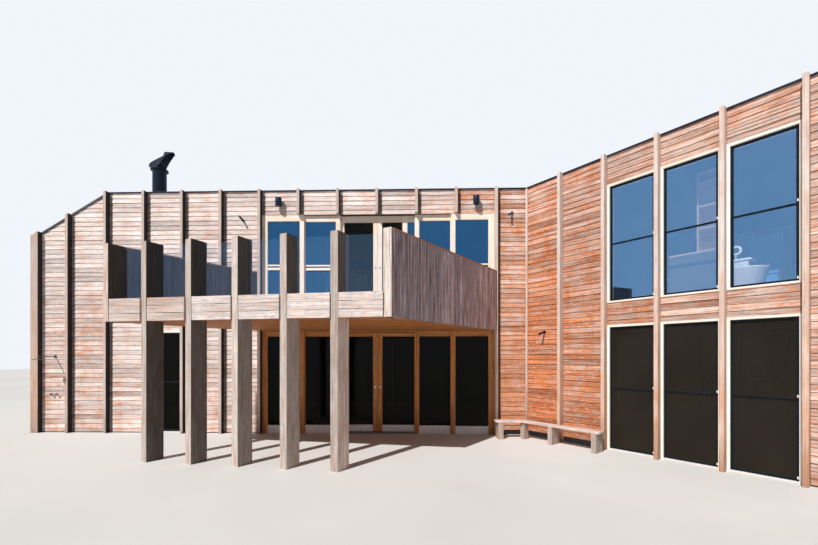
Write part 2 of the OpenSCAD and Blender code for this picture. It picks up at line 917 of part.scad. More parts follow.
module balcony_fascia() {
  step = (fascia_top - soffit_z + fascia_joint) / fascia_boards;
  color(board_pale) place() for (k = [0 : fascia_boards - 1])
    translate([0, 0, soffit_z + k * step]) linear_extrude(step - fascia_joint)
      front_strip(fascia_in, fascia_in + fascia_t);
}

module balcony_posts() {
  color(fin_grey) place() for (k = [0 : posts - 1]) {
    hangs = k == 0 || k == posts - 1;
    z = hangs ? soffit_z : 0;
    translate([0, 0, z]) linear_extrude(post_h - z) post_plan(k, 0);
  }
}

module balcony_glass() {
  color(glass_blue) place() translate([0, 0, storey_h]) linear_extrude(glass_top - storey_h)
    front_strip(glass_in, glass_in + glass_t);
}

module balcony_sides() {
  color("#5a4c46") place() translate([0, 0, soffit_z])
    linear_extrude(post_h - side_cap_t - soffit_z) side_plan(0);
}

module balcony_side_caps() {
  color("#8d5134") place() translate([0, 0, post_h - side_cap_t])
    linear_extrude(side_cap_t) side_plan(6);
}

// Bench in the inner corner: a plank along each wing, on legs that bearers tie to the fins
bench_left = tl(0) + 100;
bench_right = tr(right_win) + half + bench_past;
leg_top = bench_h - bench_t;

module bench_half(end) {
  gap = slab_joint / 2;
  back = bench_d - seat_w;
  polygon([[mitre(-bench_d) + gap, -bench_d], [end, -bench_d], [end, -back],
           [mitre(-back) + gap, -back]]);
}

module bench_seat() {
  color("#c9b7a8") place() translate([0, 0, leg_top]) linear_extrude(bench_t) {
    mirror([1, 0]) bench_half(bench_left);
    rotate(-turn) bench_half(bench_right);
  }
}

module bench_leg_at(t, w, d, set_back) {
  translate([t - w / 2, -bench_d + set_back, 0]) cube([w, d, leg_top]);
}

// Leg in front of a fin, with the bearer from its back to the fin
module fin_leg(fin_t, aside, w, fin_d) {
  y0 = -bench_d + leg_in + bench_leg_d - bearer / 2;
  bench_leg_at(fin_t + aside, w, bench_leg_d, leg_in);
  translate([fin_t + aside / 2 - bearer / 2, y0, leg_top - bearer])
    cube([bearer, -fin_d - seat - y0, bearer]);
}

module bench_legs() {
  color("#b9a99c") {
    left_wing() fin_leg(tl(0), -10, 1.3 * bench_leg, fin_d_left);
    right_wing() {
      bench_leg_at(0.42 * bench_d, 1.2 * bench_leg, bench_leg_d / 2, leg_in + 45);
      fin_leg(tr(1), 38, bench_leg, fin_d_right);
      fin_leg(tr(right_win), 20, bench_leg, fin_d_right);
    }
  }
}

// Flue with a collar and a socket for the cowl's pin
socket_r = 2 * pin_r;
socket_h = 60;
pin_gap = 0.05;

module flue() {
  color(metal_black) left_wing() translate([flue_t, flue_y, 0]) difference() {
    union() {
      translate([0, 0, roof_top]) cylinder(r = flue_r, h = flue_h - roof_top);
      translate([0, 0, flue_h - 25]) cylinder(r = collar_r, h = 25);
    }
    translate([0, 0, flue_h - socket_h]) cylinder(r = pin_r + pin_gap, h = socket_h + eps);
  }
}

// Cowl that turns with the wind: a swept hood cut from its side and plan outlines, and a vane.
// Its outlines are in hundredths of the cowl's radius.
hood_side = [[-148, 45], [-115, 63], [-79, 79], [-42, 96], [14, 125], [126, 188], [185, 225],
             [221, 238], [169, 209], [126, 169], [98, 132], [76, 100], [53, 59], [25, 28],
             [-22, 15], [-76, 13]];
vane_side = [[11, 112], [76, 270], [210, 260], [221, 238], [126, 179]];
hood_nose = -148;
hood_tail = 224;
hood_wide = -34;
function hood_half(x) =
  84 * sqrt(max(0.001, 1 - pow((x - hood_wide) / (x < hood_wide ? 116 : 264), 2)));

module flue_cowl() {
  k = cowl_r / 100;
  xs = [for (x = [hood_nose : 12 : hood_tail]) x];
  outline = concat([for (x = xs) [x, -hood_half(x)]],
                   [for (i = [len(xs) - 1 : -1 : 0]) [xs[i], hood_half(xs[i])]]);
  color(metal_black) left_wing() translate([flue_t, flue_y, flue_h]) mirror([1, 0, 0]) {
    intersection() {
      across(-cowl_r, cowl_r) polygon(k * hood_side);
      linear_extrude(3 * cowl_r) polygon(k * outline);
    }
    across(-vane_t / 2, vane_t / 2) polygon(k * vane_side);
    translate([0, 0, -socket_h + 0.3]) cylinder(r = pin_r, h = socket_h + 0.3 * cowl_r);
  }
}

// Cylinder lights on the upper wall and small spots
module wall_light(t) {
  translate([t, -light_r - 18, light_z]) cylinder(r = light_r, h = light_h);
  block(t - 20, t + 20, -22, clad_t, light_z + light_h / 2 - 30, light_z + light_h / 2 + 30);
}

// Small spot: a plate on the boards and a tube that points along aim from it
module spot(t, z, aim) {
  translate([t, clad_t, z]) {
    rotate([90, 0, 0]) cylinder(r = 1.3 * spot_r, h = clad_t + 8);
    translate([0, -clad_t, 0]) rotate([0, acos(aim[2] / norm(aim)), atan2(aim[1], aim[0])])
      cylinder(r = spot_r, h = norm(aim));
  }
}

module wall_lights() {
  color(metal_black) {
    left_wing() {
      wall_light(tl(0) + bay / 2);
      wall_light(tl(door_bays) - bay / 2);
      spot(corner_gap * 0.47, up_head, [100, -130, -90]);
      spot(tl(door_bays) + bay * 0.45, up_head - 2 * spot_drop, [20, -165, 45]);
    }
    right_wing() spot(bay / 2, win_head - spot_drop, [-10, -190, -50]);
  }
}

// Outdoor shower between the last two fins: arm, rose and two taps
module outdoor_shower() {
  t = left_last + end_bay / 2;
  color("#c8ccd0") left_wing() {
    translate([t, clad_t, shower_z]) rotate([90, 0, 0]) cylinder(r = 12, h = shower_reach + clad_t);
    translate([t, clad_t, shower_z]) rotate([90, 0, 0]) cylinder(r = 32, h = clad_t + 8);
    translate([t, -shower_reach + 12, shower_z - 60]) cylinder(r = 12, h = 60);
    translate([t, -shower_reach + 12, shower_z - 72]) cylinder(r = rose_r, h = 16);
    for (s = [-60, 60]) {
      translate([t + s, clad_t, tap_z]) rotate([90, 0, 0]) cylinder(r = 10, h = clad_t + 30);
      translate([t + s, -30, tap_z]) rotate([90, 0, 0]) cylinder(r = 24, h = 22);
    }
  }
}

// Free-standing bathtub behind the last upper window
module bathtub() {
  rim = 30;
  color("white") right_wing()
    translate([tr(right_win + 2) + tub_past - tub_l / 2, wall_in + tub_back + tub_w / 2, storey_h])
      difference() {
        hull() {
          translate([0, 0, tub_h - 20]) linear_extrude(20) tub_plan(tub_l, tub_w);
          linear_extrude(20) tub_plan(tub_l - 300, tub_w - 160);
        }
        hull() {
          translate([0, 0, tub_h + eps]) linear_extrude(1) tub_plan(tub_l - 2 * rim, tub_w - 2 * rim);
          translate([0, 0, 60]) linear_extrude(1) tub_plan(tub_l - 400, tub_w - 250);
        }
      }
}

module tub_plan(l, w) {
  hull() for (x = [w - l, l - w]) translate([x / 2, 0]) circle(d = w, $fn = 24);
}

// Washstand that shows over the bathtub's rim: top, drawer box and four legs
module washstand() {
  top_t = 40;
  leg = 45;
  box_h = 160;
  y0 = tub_back + tub_w + 300;
  color("white") right_wing()
    translate([tr(right_win + 2) - 20 - stand_w, wall_in + y0, storey_h]) {
      block(0, stand_w, 0, stand_d, stand_h - top_t, stand_h);
      block(leg, stand_w - leg, leg / 2, stand_d - leg / 2, stand_h - top_t - box_h, stand_h - top_t);
      for (x = [leg, stand_w - 2 * leg], y = [leg / 2, stand_d - 1.5 * leg])
        block(x, x + leg, y, y + leg, 0, stand_h - top_t);
    }
}

// Closed cabinet with open shelves over its end, behind the middle upper window
module shelf_unit() {
  board = 25;
  h = cabinet_h + 3.5 * shelf_pitch;
  color("#d8b8a0") right_wing()
    translate([tr(right_win + 2) - 70 - cabinet_w, wall_in + cabinet_back, storey_h]) {
      block(0, cabinet_w, 0, shelf_d, 0, cabinet_h);
      translate([cabinet_w - shelf_w, 0, 0]) {
        block(0, shelf_w, shelf_d - board, shelf_d, 0, h);
        block(0, board, 0, shelf_d, 0, h);
        block(shelf_w - board, shelf_w, 0, shelf_d, 0, h);
        for (k = [1 : 3])
          block(0, shelf_w, 0, shelf_d, cabinet_h + k * shelf_pitch - board,
                cabinet_h + k * shelf_pitch);
        block(0, shelf_w, 0, shelf_d, h - board, h);
      }
    }
}

ground_floor();
upper_floor();
flat_roof();
sloped_roof_ends();
parapet_capping();
left_front_piers();
left_front_bands();
right_front_piers();
right_front_bands();
left_back_piers();
left_back_bands();
right_back_piers();
right_back_bands();
end_walls();
left_fins();
right_fins();
back_fins();
corner_boards();
door_wall_sides();
door_tracks();
left_door();
left_door_glass();
left_door_pull();
right_door();
right_door_glass();
right_door_pull();
upper_door_wall();
upper_doors();
window_frames();
window_sashes();
ground_glass();
upper_glass();
balcony_floor();
balcony_soffit();
balcony_fascia();
balcony_posts();
balcony_glass();
balcony_sides();
balcony_side_caps();
bench_seat();
bench_legs();
flue();
flue_cowl();
wall_lights();
outdoor_shower();
bathtub();
washstand();
shelf_unit();
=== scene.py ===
from math import cos, pi, radians, sin, tan
from random import Random

import bmesh
import bpy
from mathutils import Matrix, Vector


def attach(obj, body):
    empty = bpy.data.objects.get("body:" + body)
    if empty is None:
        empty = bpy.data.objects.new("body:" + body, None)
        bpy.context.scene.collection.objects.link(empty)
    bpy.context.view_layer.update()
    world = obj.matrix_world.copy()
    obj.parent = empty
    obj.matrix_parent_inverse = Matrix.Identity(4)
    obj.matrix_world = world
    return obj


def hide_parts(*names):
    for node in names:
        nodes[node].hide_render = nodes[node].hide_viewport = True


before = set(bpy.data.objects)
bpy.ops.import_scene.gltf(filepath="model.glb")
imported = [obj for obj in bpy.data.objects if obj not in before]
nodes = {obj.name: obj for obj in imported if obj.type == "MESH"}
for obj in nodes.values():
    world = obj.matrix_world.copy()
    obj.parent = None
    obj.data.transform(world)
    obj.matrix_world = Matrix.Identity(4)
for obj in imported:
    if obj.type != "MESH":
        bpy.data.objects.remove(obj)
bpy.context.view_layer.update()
print("frame loaded:", len(nodes), "nodes")

# Plan of the house in metres; u runs along a wing from the inner corner, v into the house
plan = {
    "corner": (0.82067, 0.05562),  # inner corner of the two board faces, in the row frame
    "turn": 50.0,  # between the wings, in degrees
    "module": 0.9,
    "depth": 6.0,
    "leftGap": 0.7,  # from the corner to the first fin of each wing
    "rightGap": 0.85,
    "leftBreak": 9.7,  # where each wing's roof starts to slope
    "rightBreak": 6.25,
    "leftEnd": 11.4575,
    "rightEnd": 8.0075,
    "endBay": 0.71,
    "fin": 0.065,
    "blade": 0.115,
    "boards": 0.02,
}
levels = {
    "lowHead": 2.365,
    "floor": 2.7,
    "upSill": 2.79,
    "upHead": 5.035,
    "wallTop": 5.57,
    "roofTop": 5.5,
    "parapet": 5.6,
    "pitch": 30.3,  # of the sloped roof ends, in degrees
    "roofEdge": 0.052,  # thickness of the sloped ends, measured upright
    "underRoof": 0.002,  # space between the boards and the roof
}
turn = radians(plan["turn"])
roofSlope = tan(radians(levels["pitch"]))
halfFin = plan["fin"] / 2
corner = plan["corner"]


def add2(a, b, scale=1.0):
    return (a[0] + b[0] * scale, a[1] + b[1] * scale)


def flip(way):
    return (-way[0], -way[1])


# A face is an origin in plan, the way along it and the way into the house
leftAlong, leftIn = (-1.0, 0.0), (0.0, 1.0)
rightAlong, rightIn = (cos(turn), -sin(turn)), (sin(turn), cos(turn))
leftFront = (corner, leftAlong, leftIn)
rightFront = (corner, rightAlong, rightIn)
leftBack = (add2(corner, leftIn, plan["depth"]), leftAlong, flip(leftIn))
rightBack = (add2(corner, rightIn, plan["depth"]), rightAlong, flip(rightIn))
leftEndFace = (add2(corner, leftAlong, plan["leftEnd"]), leftIn, flip(leftAlong))
rightEndFace = (add2(corner, rightAlong, plan["rightEnd"]), rightIn, flip(rightAlong))


def onFace(face, u, v, z):
    origin, along, into = face
    return (origin[0] + u * along[0] + v * into[0], origin[1] + u * along[1] + v * into[1], z)


def leftFin(j):
    return plan["leftGap"] + j * plan["module"]


def rightFin(k):
    return plan["rightGap"] + (k - 1) * plan["module"]


# Meshes: every piece is gathered from closed forms that carry their grain and tone
def newMesh():
    return {"points": [], "faces": [], "grain": [], "tone": []}


def addPrism(mesh, first, last, grain, tone):
    start, n = len(mesh["points"]), len(first)
    mesh["points"] += list(first) + list(last)
    mesh["grain"] += list(grain)
    mesh["tone"] += [tone] * (2 * n)
    mesh["faces"].append(tuple(range(start + n - 1, start - 1, -1)))
    mesh["faces"].append(tuple(range(start + n, start + 2 * n)))
    for i in range(n):
        j = (i + 1) % n
        mesh["faces"].append((start + i, start + j, start + n + j, start + n + i))


def addPlate(mesh, face, outline, v0, v1, tone, seed):
    # outline in (u, z), drawn through from v0 to v1; v0 may be a function of z
    front = v0 if callable(v0) else (lambda z: v0)
    first = [onFace(face, u, front(z), z) for u, z in outline]
    last = [onFace(face, u, v1, z) for u, z in outline]
    addPrism(mesh, first, last, [(u, z, seed) for u, z in outline] * 2, tone)


def addBeam(mesh, face, u, v, z, run, tone, seed, chamfer=0.003):
    # a bar with small chamfers along its run, which is "u", "v" or "z"
    spans = {"u": u, "v": v, "z": z}
    across = [k for k in ("u", "v", "z") if k != run]
    (a0, a1), (b0, b1) = spans[across[0]], spans[across[1]]
    c = min(chamfer, 0.4 * abs(a1 - a0), 0.4 * abs(b1 - b0))
    ring = [(a0 + c, b0), (a1 - c, b0), (a1, b0 + c), (a1, b1 - c),
            (a1 - c, b1), (a0 + c, b1), (a0, b1 - c), (a0, b0 + c)]
    ends, grain = [], []
    for r in spans[run]:
        points = []
        for a, b in ring:
            at = {run: r, across[0]: a, across[1]: b}
            points.append(onFace(face, at["u"], at["v"], at["z"]))
            grain.append((r, a + b, seed))
        ends.append(points)
    addPrism(mesh, ends[0], ends[1], grain, tone)


def addFloorPlate(mesh, outline, z, tone, seed, along):
    # outline in plan, in the row frame; the grain runs the way of along
    first, last = ([(x, y, height) for x, y in outline] for height in z)
    grain = [(x * along[0] + y * along[1], -x * along[1] + y * along[0], seed) for x, y in outline] * 2
    addPrism(mesh, first, last, grain, tone)


def addTurned(mesh, centre, axis, profile, isRing=False, sides=24):
    # a turned shape: profile is rows of distance along the axis and radius
    way = Vector(axis).normalized()
    side = way.orthogonal().normalized()
    other = way.cross(side)
    base, rows = len(mesh["points"]), len(profile)
    for far, radius in profile:
        for i in range(sides):
            angle = 2 * pi * i / sides
            outward = side * cos(angle) + other * sin(angle)
            mesh["points"].append(tuple(Vector(centre) + way * far + outward * radius))
            mesh["grain"].append((far, radius * i / sides, 0))
            mesh["tone"].append((1, 0, 0))
    for row in range(rows if isRing else rows - 1):
        a, b = base + row * sides, base + (row + 1) % rows * sides
        for i in range(sides):
            j = (i + 1) % sides
            mesh["faces"].append((a + i, a + j, b + j, b + i))
    if not isRing:
        mesh["faces"].append(tuple(range(base + sides - 1, base - 1, -1)))
        mesh["faces"].append(tuple(range(base + (rows - 1) * sides, base + rows * sides)))


def addObject(name, data):
    made = bpy.data.objects.new(name, data)
    bpy.context.scene.collection.objects.link(made)
    return made


def makePiece(name, mesh, finish, body="house", replaces=()):
    data = bpy.data.meshes.new(name)
    data.from_pydata(mesh["points"], [], mesh["faces"])
    whole = bmesh.new()
    whole.from_mesh(data)
    bmesh.ops.recalc_face_normals(whole, faces=whole.faces)
    whole.to_mesh(data)
    whole.free()
    for key in ("grain", "tone"):
        layer = data.attributes.new(key, "FLOAT_VECTOR", "POINT")
        layer.data.foreach_set("vector", [x for row in mesh[key] for x in row])
    data.materials.append(finishes[finish])
    piece = addObject(name, data)
    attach(piece, body)
    if replaces:
        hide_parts(*replaces)
    print("made", name, len(data.polygons), "faces")
    return piece


def roundEdges(shown, width, limit=30):
    # rounds the edges that are sharper than a limit in degrees
    bevel = shown.modifiers.new("bevel", "BEVEL")
    bevel.width = width
    bevel.segments = 2
    bevel.limit_method = "ANGLE"
    bevel.angle_limit = radians(limit)


def clipped(outline, inside):
    # the part of an outline where inside(point) is not negative
    kept = []
    for i, point in enumerate(outline):
        before = outline[i - 1]
        a, b = inside(before), inside(point)
        if (a < 0) != (b < 0):
            share = a / (a - b)
            kept.append(tuple(p + (q - p) * share for p, q in zip(before, point)))
        if b >= 0:
            kept.append(point)
    return kept


# Materials
def linear(code):
    # a colour as it shows on screen, turned into the linear one that nodes take
    values = [int(code[i:i + 2], 16) / 255 for i in (1, 3, 5)]
    return tuple([c / 12.92 if c <= 0.04045 else ((c + 0.055) / 1.055) ** 2.4 for c in values] + [1.0])


def newMaterial(name):
    material = bpy.data.materials.new(name)
    material.use_nodes = True
    return material, material.node_tree, material.node_tree.nodes["Principled BSDF"]


def addNode(tree, kind, inputs=None, **settings):
    made = tree.nodes.new(kind)
    for key, value in settings.items():
        setattr(made, key, value)
    for key, value in (inputs or {}).items():
        if isinstance(value, bpy.types.NodeSocket):
            tree.links.new(value, made.inputs[key])
        else:
            made.inputs[key].default_value = value
    return made


def computed(tree, operation, a, b=0.0, clamp=False):
    return addNode(tree, "ShaderNodeMath", {0: a, 1: b}, operation=operation, use_clamp=clamp).outputs[0]


def times(tree, a, b):
    return computed(tree, "MULTIPLY", a, b)


def plus(tree, a, b, clamp=False):
    return computed(tree, "ADD", a, b, clamp)


def minus(tree, a, b):
    return computed(tree, "SUBTRACT", a, b)


def objectPlace(tree):
    return addNode(tree, "ShaderNodeTexCoord").outputs["Object"]


def parts(tree, vector):
    return addNode(tree, "ShaderNodeSeparateXYZ", {0: vector}).outputs


def noise(tree, place, scale, detail=4.0, roughness=0.55):
    spread = addNode(tree, "ShaderNodeVectorMath", {0: place, 1: scale}, operation="MULTIPLY").outputs[0]
    made = addNode(tree, "ShaderNodeTexNoise", {"Vector": spread, "Scale": 1.0, "Detail": detail,
                                                "Roughness": roughness})
    return made.outputs["Fac"]


def ranged(tree, value, low=0.35, high=0.65, toLow=0.0, toHigh=1.0):
    return addNode(tree, "ShaderNodeMapRange", {"Value": value, "From Min": low, "From Max": high,
                                                "To Min": toLow, "To Max": toHigh}).outputs["Result"]


def mixed(tree, share, a, b, blend="MIX"):
    made = addNode(tree, "ShaderNodeMix", {0: share, 6: a, 7: b}, data_type="RGBA", blend_type=blend)
    return made.outputs[2]


def addBump(tree, shader, height, strength, distance):
    bump = addNode(tree, "ShaderNodeBump", {"Height": height, "Strength": strength, "Distance": distance})
    tree.links.new(bump.outputs[0], shader.inputs["Normal"])


def grainPlace(tree, run):
    # where a point is along its board, across it, and which board it is; then the board's tone
    if run == "piece":
        place = addNode(tree, "ShaderNodeAttribute", attribute_name="grain").outputs["Vector"]
        tone = addNode(tree, "ShaderNodeAttribute", attribute_name="tone").outputs["Vector"]
        return place, *parts(tree, tone)
    spot = objectPlace(tree)
    x, y, z = parts(tree, spot)
    if run == "up":
        along, across, depth = z, plus(tree, x, y), minus(tree, x, y)
    else:
        way = radians(run)
        along = plus(tree, times(tree, x, cos(way)), times(tree, y, sin(way)))
        across = minus(tree, times(tree, y, cos(way)), times(tree, x, sin(way)))
        depth = z
    place = addNode(tree, "ShaderNodeCombineXYZ", {0: along, 1: across, 2: depth}).outputs[0]
    patch = noise(tree, spot, (0.9, 0.9, 0.35), detail=2.0)
    bright, warm = ranged(tree, patch, 0.3, 0.7, 0.92, 1.06), ranged(tree, patch, toLow=0.05, toHigh=0.4)
    return place, bright, warm, 0.0


# Noises of the timber: scale along, across and at most through it, then detail and roughness
grainNoises = {
    "fine": (4.0, 170.0, 60.0, 6.0, 0.65),
    "streak": (1.4, 40.0, 60.0, 5.0, 0.6),
    "blotch": (2.2, 9.0, 4.0, 5.0, 0.65),
    "fleck": (14.0, 90.0, 60.0, 2.0, 0.55),
    "mottle": (8.0, 18.0, 60.0, 7.0, 0.8),
    "stain": (2.4, 0.6, 0.0, 6.0, 0.7),  # runs over several boards
}


def timber(name, look):
    # weathered timber: two tones of grey wood, two of fresh wood under it, and fine grain
    material, tree, shader = newMaterial(name)
    greyLight, greyDark, freshLight, freshDark = [linear(code) for code in look["tones"]]
    run = look.get("run", "piece")
    place, bright, warm, aged = grainPlace(tree, run)

    def grain(key):
        along, across, through, detail, roughness = grainNoises[key]
        through = min(through, 1.0) if run == "piece" else through
        return noise(tree, place, (along, across, through), detail, roughness)

    fine, streak, blotch = grain("fine"), grain("streak"), grain("blotch")
    fleck, mottle = grain("fleck"), grain("mottle")
    if run != "piece":
        wing, _, height = parts(tree, objectPlace(tree))
    if "lowWarm" in look:
        # redder towards the ground, most on the right wing; the left wing's are darker
        low = ranged(tree, height, 0.0, look["lowWarmTop"], look["lowWarm"], 0.0)
        warm = plus(tree, warm, times(tree, low, ranged(tree, wing, *look["wings"], 0.1, 1.0)))
        bright = times(tree, bright, ranged(tree, wing, *look["wings"], look["leftTone"], look["rightTone"]))
        warm = plus(tree, warm, ranged(tree, wing, *look["bladeAt"], look["bladeWarm"], 0.0))
        bright = times(tree, bright, ranged(tree, height, *look["foot"], look["footTone"], 1.0))
    if "agedBelow" in look:
        aged = computed(tree, "LESS_THAN", height, look["agedBelow"])
    if "lee" in look:
        # painted shadow: boards get a darker strip beside each fin, where its shadow falls
        along = minus(tree, parts(tree, place)[0], plan["leftGap"] - halfFin)
        bay = computed(tree, "FRACT", computed(tree, "DIVIDE", along, plan["module"]))
        edge = 1.0 - look["leeWidth"] / plan["module"]
        edges = [edge + far for far in look["leeSoft"]]
        bright = times(tree, bright, ranged(tree, bay, *edges, 1.0, look["lee"]))
    if "stain" in look:
        warm = plus(tree, warm, ranged(tree, grain("stain"), 0.48, 0.6, 0.0, look["stain"]))
    silver = mixed(tree, ranged(tree, streak), greyDark, greyLight)
    fresh = mixed(tree, ranged(tree, streak), freshDark, freshLight)
    share = plus(tree, warm, ranged(tree, blotch, 0.38, 0.62, -look["patchy"], look["patchy"]))
    share = plus(tree, share, ranged(tree, mottle, 0.43, 0.57, -look["mottle"], look["mottle"]))
    share = plus(tree, share, ranged(tree, fine, 0.3, 0.7, -0.12, 0.12), clamp=True)
    colour = mixed(tree, share, silver, fresh)
    flecked = ranged(tree, fleck, 0.60, 0.72, 0.0, look.get("flecks", 0.0))
    colour = mixed(tree, flecked, colour, greyLight)
    colour = mixed(tree, aged, colour, linear(look.get("aged", "#a79d96")))
    if "shadeSide" in look:
        # painted shade: faces turned to +x, away from the sun, get a darker, browner colour
        facingAwayFromSun = parts(tree, addNode(tree, "ShaderNodeNewGeometry").outputs["Normal"])[0]
        colour = mixed(tree, ranged(tree, facingAwayFromSun, 0.8, 0.95), colour, linear(look["shadeSide"]))
    lines = ranged(tree, fine, 0.30, 0.62, 1.0 - look["lines"], 1.04)
    dapple = ranged(tree, mottle, 0.42, 0.58, 1.0 - 0.75 * look["mottle"], 1.0 + 0.45 * look["mottle"])
    shade = times(tree, times(tree, lines, dapple), bright)
    shades = addNode(tree, "ShaderNodeCombineXYZ", {0: shade, 1: shade, 2: shade}).outputs[0]
    tree.links.new(mixed(tree, 1.0, colour, shades, "MULTIPLY"), shader.inputs["Base Color"])
    rough = ranged(tree, fine, 0.3, 0.7, look["rough"] + 0.08, look["rough"] - 0.08)
    tree.links.new(rough, shader.inputs["Roughness"])
    addBump(tree, shader, fine, look["bump"], 0.002)
    return material


def plain(name, look):
    # painted, metal or plaster surface with soft patches and a fine tooth
    material, tree, shader = newMaterial(name)
    spot = objectPlace(tree)
    patch = noise(tree, spot, (look["patch"],) * 3, detail=3.0)
    tooth = noise(tree, spot, (look["tooth"],) * 3, detail=3.0)
    colour = mixed(tree, ranged(tree, patch), linear(look["low"]), linear(look["high"]))
    tree.links.new(colour, shader.inputs["Base Color"])
    rough = ranged(tree, tooth, 0.3, 0.7, look["rough"] - 0.05, look["rough"] + 0.08)
    tree.links.new(rough, shader.inputs["Roughness"])
    addBump(tree, shader, tooth, look.get("bump", 0.1), 0.001)
    shader.inputs["Metallic"].default_value = look.get("metal", 0.0)
    shader.inputs["Specular IOR Level"].default_value = look.get("gloss", 0.5)
    return material


def pane(name, look):
    # tinted glass that mirrors what is round it and is see-through in part, with faint waves; the tint is
    # painted reflection, of the sky on the upper and guard panes and of the deck on the lower ones
    material, tree, shader = newMaterial(name)
    spot = objectPlace(tree)
    x, y, _ = parts(tree, spot)
    wave = noise(tree, spot, (0.7, 0.7, 0.5), detail=2.0)
    colour = mixed(tree, ranged(tree, wave), linear(look["low"]), linear(look["high"]))
    if "leftWingShade" in look:
        # painted shade: panes of the left wing, under and behind the balcony, are deeper, and those of its
        # doors, set further in, the darkest
        colour = mixed(tree, ranged(tree, x, 0.3, 1.5, 1.0, 0.0), colour, linear(look["leftWingShade"]))
    if "doors" in look:
        inner = times(tree, computed(tree, "GREATER_THAN", y, look["doorsDeep"][0]),
                      computed(tree, "LESS_THAN", y, look["doorsDeep"][1]))
        inner = times(tree, inner, computed(tree, "LESS_THAN", x, look["doorsPast"]))
        colour = mixed(tree, inner, colour, linear(look["doors"]))
    tree.links.new(colour, shader.inputs["Base Color"])
    shader.inputs["Roughness"].default_value = look["rough"]
    shader.inputs["Alpha"].default_value = look["solid"]
    if "backSolid" in look:
        # the panes of the back walls let little through
        fromRight = plus(tree, times(tree, x, rightIn[0]), times(tree, y, rightIn[1]))
        fromRight = minus(tree, fromRight, corner[0] * rightIn[0] + corner[1] * rightIn[1])
        into = computed(tree, "MAXIMUM", fromRight, minus(tree, y, corner[1]))
        isBack = computed(tree, "GREATER_THAN", into, plan["depth"] / 2)
        solid = ranged(tree, isBack, 0.0, 1.0, look["solid"], look["backSolid"])
        tree.links.new(solid, shader.inputs["Alpha"])
    shader.inputs["IOR"].default_value = 1.5
    shader.inputs["Metallic"].default_value = look["mirror"]
    shader.inputs["Specular IOR Level"].default_value = look["gloss"]
    return material


# Tones are the light and dark grey, then the light and dark fresh wood
timberLooks = {
    "leftBoards": {
        "tones": ("#fff8f5", "#e0cac1", "#df9b6e", "#b06338"), "patchy": 0.24, "mottle": 0.33,
        "stain": 0.24, "lines": 0.36, "rough": 0.82, "bump": 0.5, "flecks": 0.5},
    "rightBoards": {
        "tones": ("#fde6d9", "#bc8d78", "#e48d53", "#ad5524"), "patchy": 0.3, "mottle": 0.33,
        "stain": 0.26, "lines": 0.42, "rough": 0.82, "bump": 0.5, "flecks": 0.95},
    # on the fins the darkest colour is painted shade, on the faces turned from the sun
    "finTimber": {
        "tones": ("#f6ebe4", "#dccbc1", "#e3b090", "#bd8562"), "run": "up", "patchy": 0.2,
        "mottle": 0.12, "lines": 0.14, "rough": 0.85, "bump": 0.3, "shadeSide": "#33282b",
        "lowWarm": 0.55, "lowWarmTop": 4.2,  # share of fresh wood at the ground, and where it ends
        "wings": (-3.0, 2.0), "leftTone": 0.76, "rightTone": 0.93,
        "bladeAt": (-10.5, -10.3), "bladeWarm": 0.22,
        "foot": (0.05, 0.7), "footTone": 0.7},
    "postPieces": {
        "tones": ("#efe3db", "#c5b6ac", "#cfa58a", "#97705a"), "patchy": 0.3, "mottle": 0.25,
        "lines": 0.35, "rough": 0.85, "bump": 0.5, "flecks": 0.5},
    "honeyTimber": {
        "tones": ("#d39a62", "#a66d38", "#dd8a36", "#a65a16"), "patchy": 0.3, "mottle": 0.2,
        "lines": 0.14, "rough": 0.6, "bump": 0.15, "aged": "#fdfdff"},
    "creamTimber": {
        "tones": ("#fffaf3", "#f5ebdf", "#f8e4cc", "#ebcfb0"), "patchy": 0.25, "mottle": 0.08,
        "lines": 0.06, "rough": 0.6, "bump": 0.12, "aged": "#ded9d4"},
    "soffitTimber": {
        "tones": ("#d99a62", "#a66c3c", "#dd8840", "#9c571f"), "patchy": 0.3, "mottle": 0.3,
        "lines": 0.35, "rough": 0.65, "bump": 0.2},
    "fasciaTimber": {
        "tones": ("#f5ebe8", "#cdbfb9", "#dbb49b", "#b58a70"), "patchy": 0.25, "mottle": 0.38,
        "lines": 0.3, "rough": 0.82, "bump": 0.3, "flecks": 0.4},
    "trackTimber": {
        "tones": ("#c98d55", "#97602f", "#cf8138", "#8f4f1a"), "run": 0.0, "patchy": 0.3,
        "mottle": 0.2, "lines": 0.15, "rough": 0.6, "bump": 0.15, "aged": "#77757a", "agedBelow": 1.0},
    "darkTimber": {
        "tones": ("#bdb3ba", "#5c4e53", "#9a7a70", "#5f433b"), "patchy": 0.35, "mottle": 0.3,
        "lines": 0.5, "rough": 0.85, "bump": 0.4},
    "capTimber": {
        "tones": ("#c9987c", "#98684f", "#b9744a", "#87492b"), "run": 54.2, "patchy": 0.3,
        "mottle": 0.2, "lines": 0.2, "rough": 0.75, "bump": 0.3},
    "benchTimber": {
        "tones": ("#eee3de", "#cdbab0", "#d3a98f", "#b08266"), "patchy": 0.25, "mottle": 0.25,
        "lines": 0.2, "rough": 0.8, "bump": 0.3},
    "legTimber": {
        "tones": ("#cfc1b8", "#a0938a", "#b98f78", "#8c6a55"), "run": "up", "patchy": 0.3,
        "mottle": 0.2, "lines": 0.25, "rough": 0.85, "bump": 0.4},
    "floorTimber": {
        "tones": ("#b59a7c", "#8f7458", "#b08455", "#8a6238"), "run": 0.0, "patchy": 0.3,
        "mottle": 0.2, "lines": 0.15, "rough": 0.6, "bump": 0.15},
    "shelfTimber": {
        "tones": ("#f6e6d8", "#e4c4ac", "#e6bc9a", "#c9966f"), "run": -50.0, "patchy": 0.2,
        "mottle": 0.1, "lines": 0.08, "rough": 0.5, "bump": 0.1, "aged": "#6e6865", "agedBelow": 3.56},
}
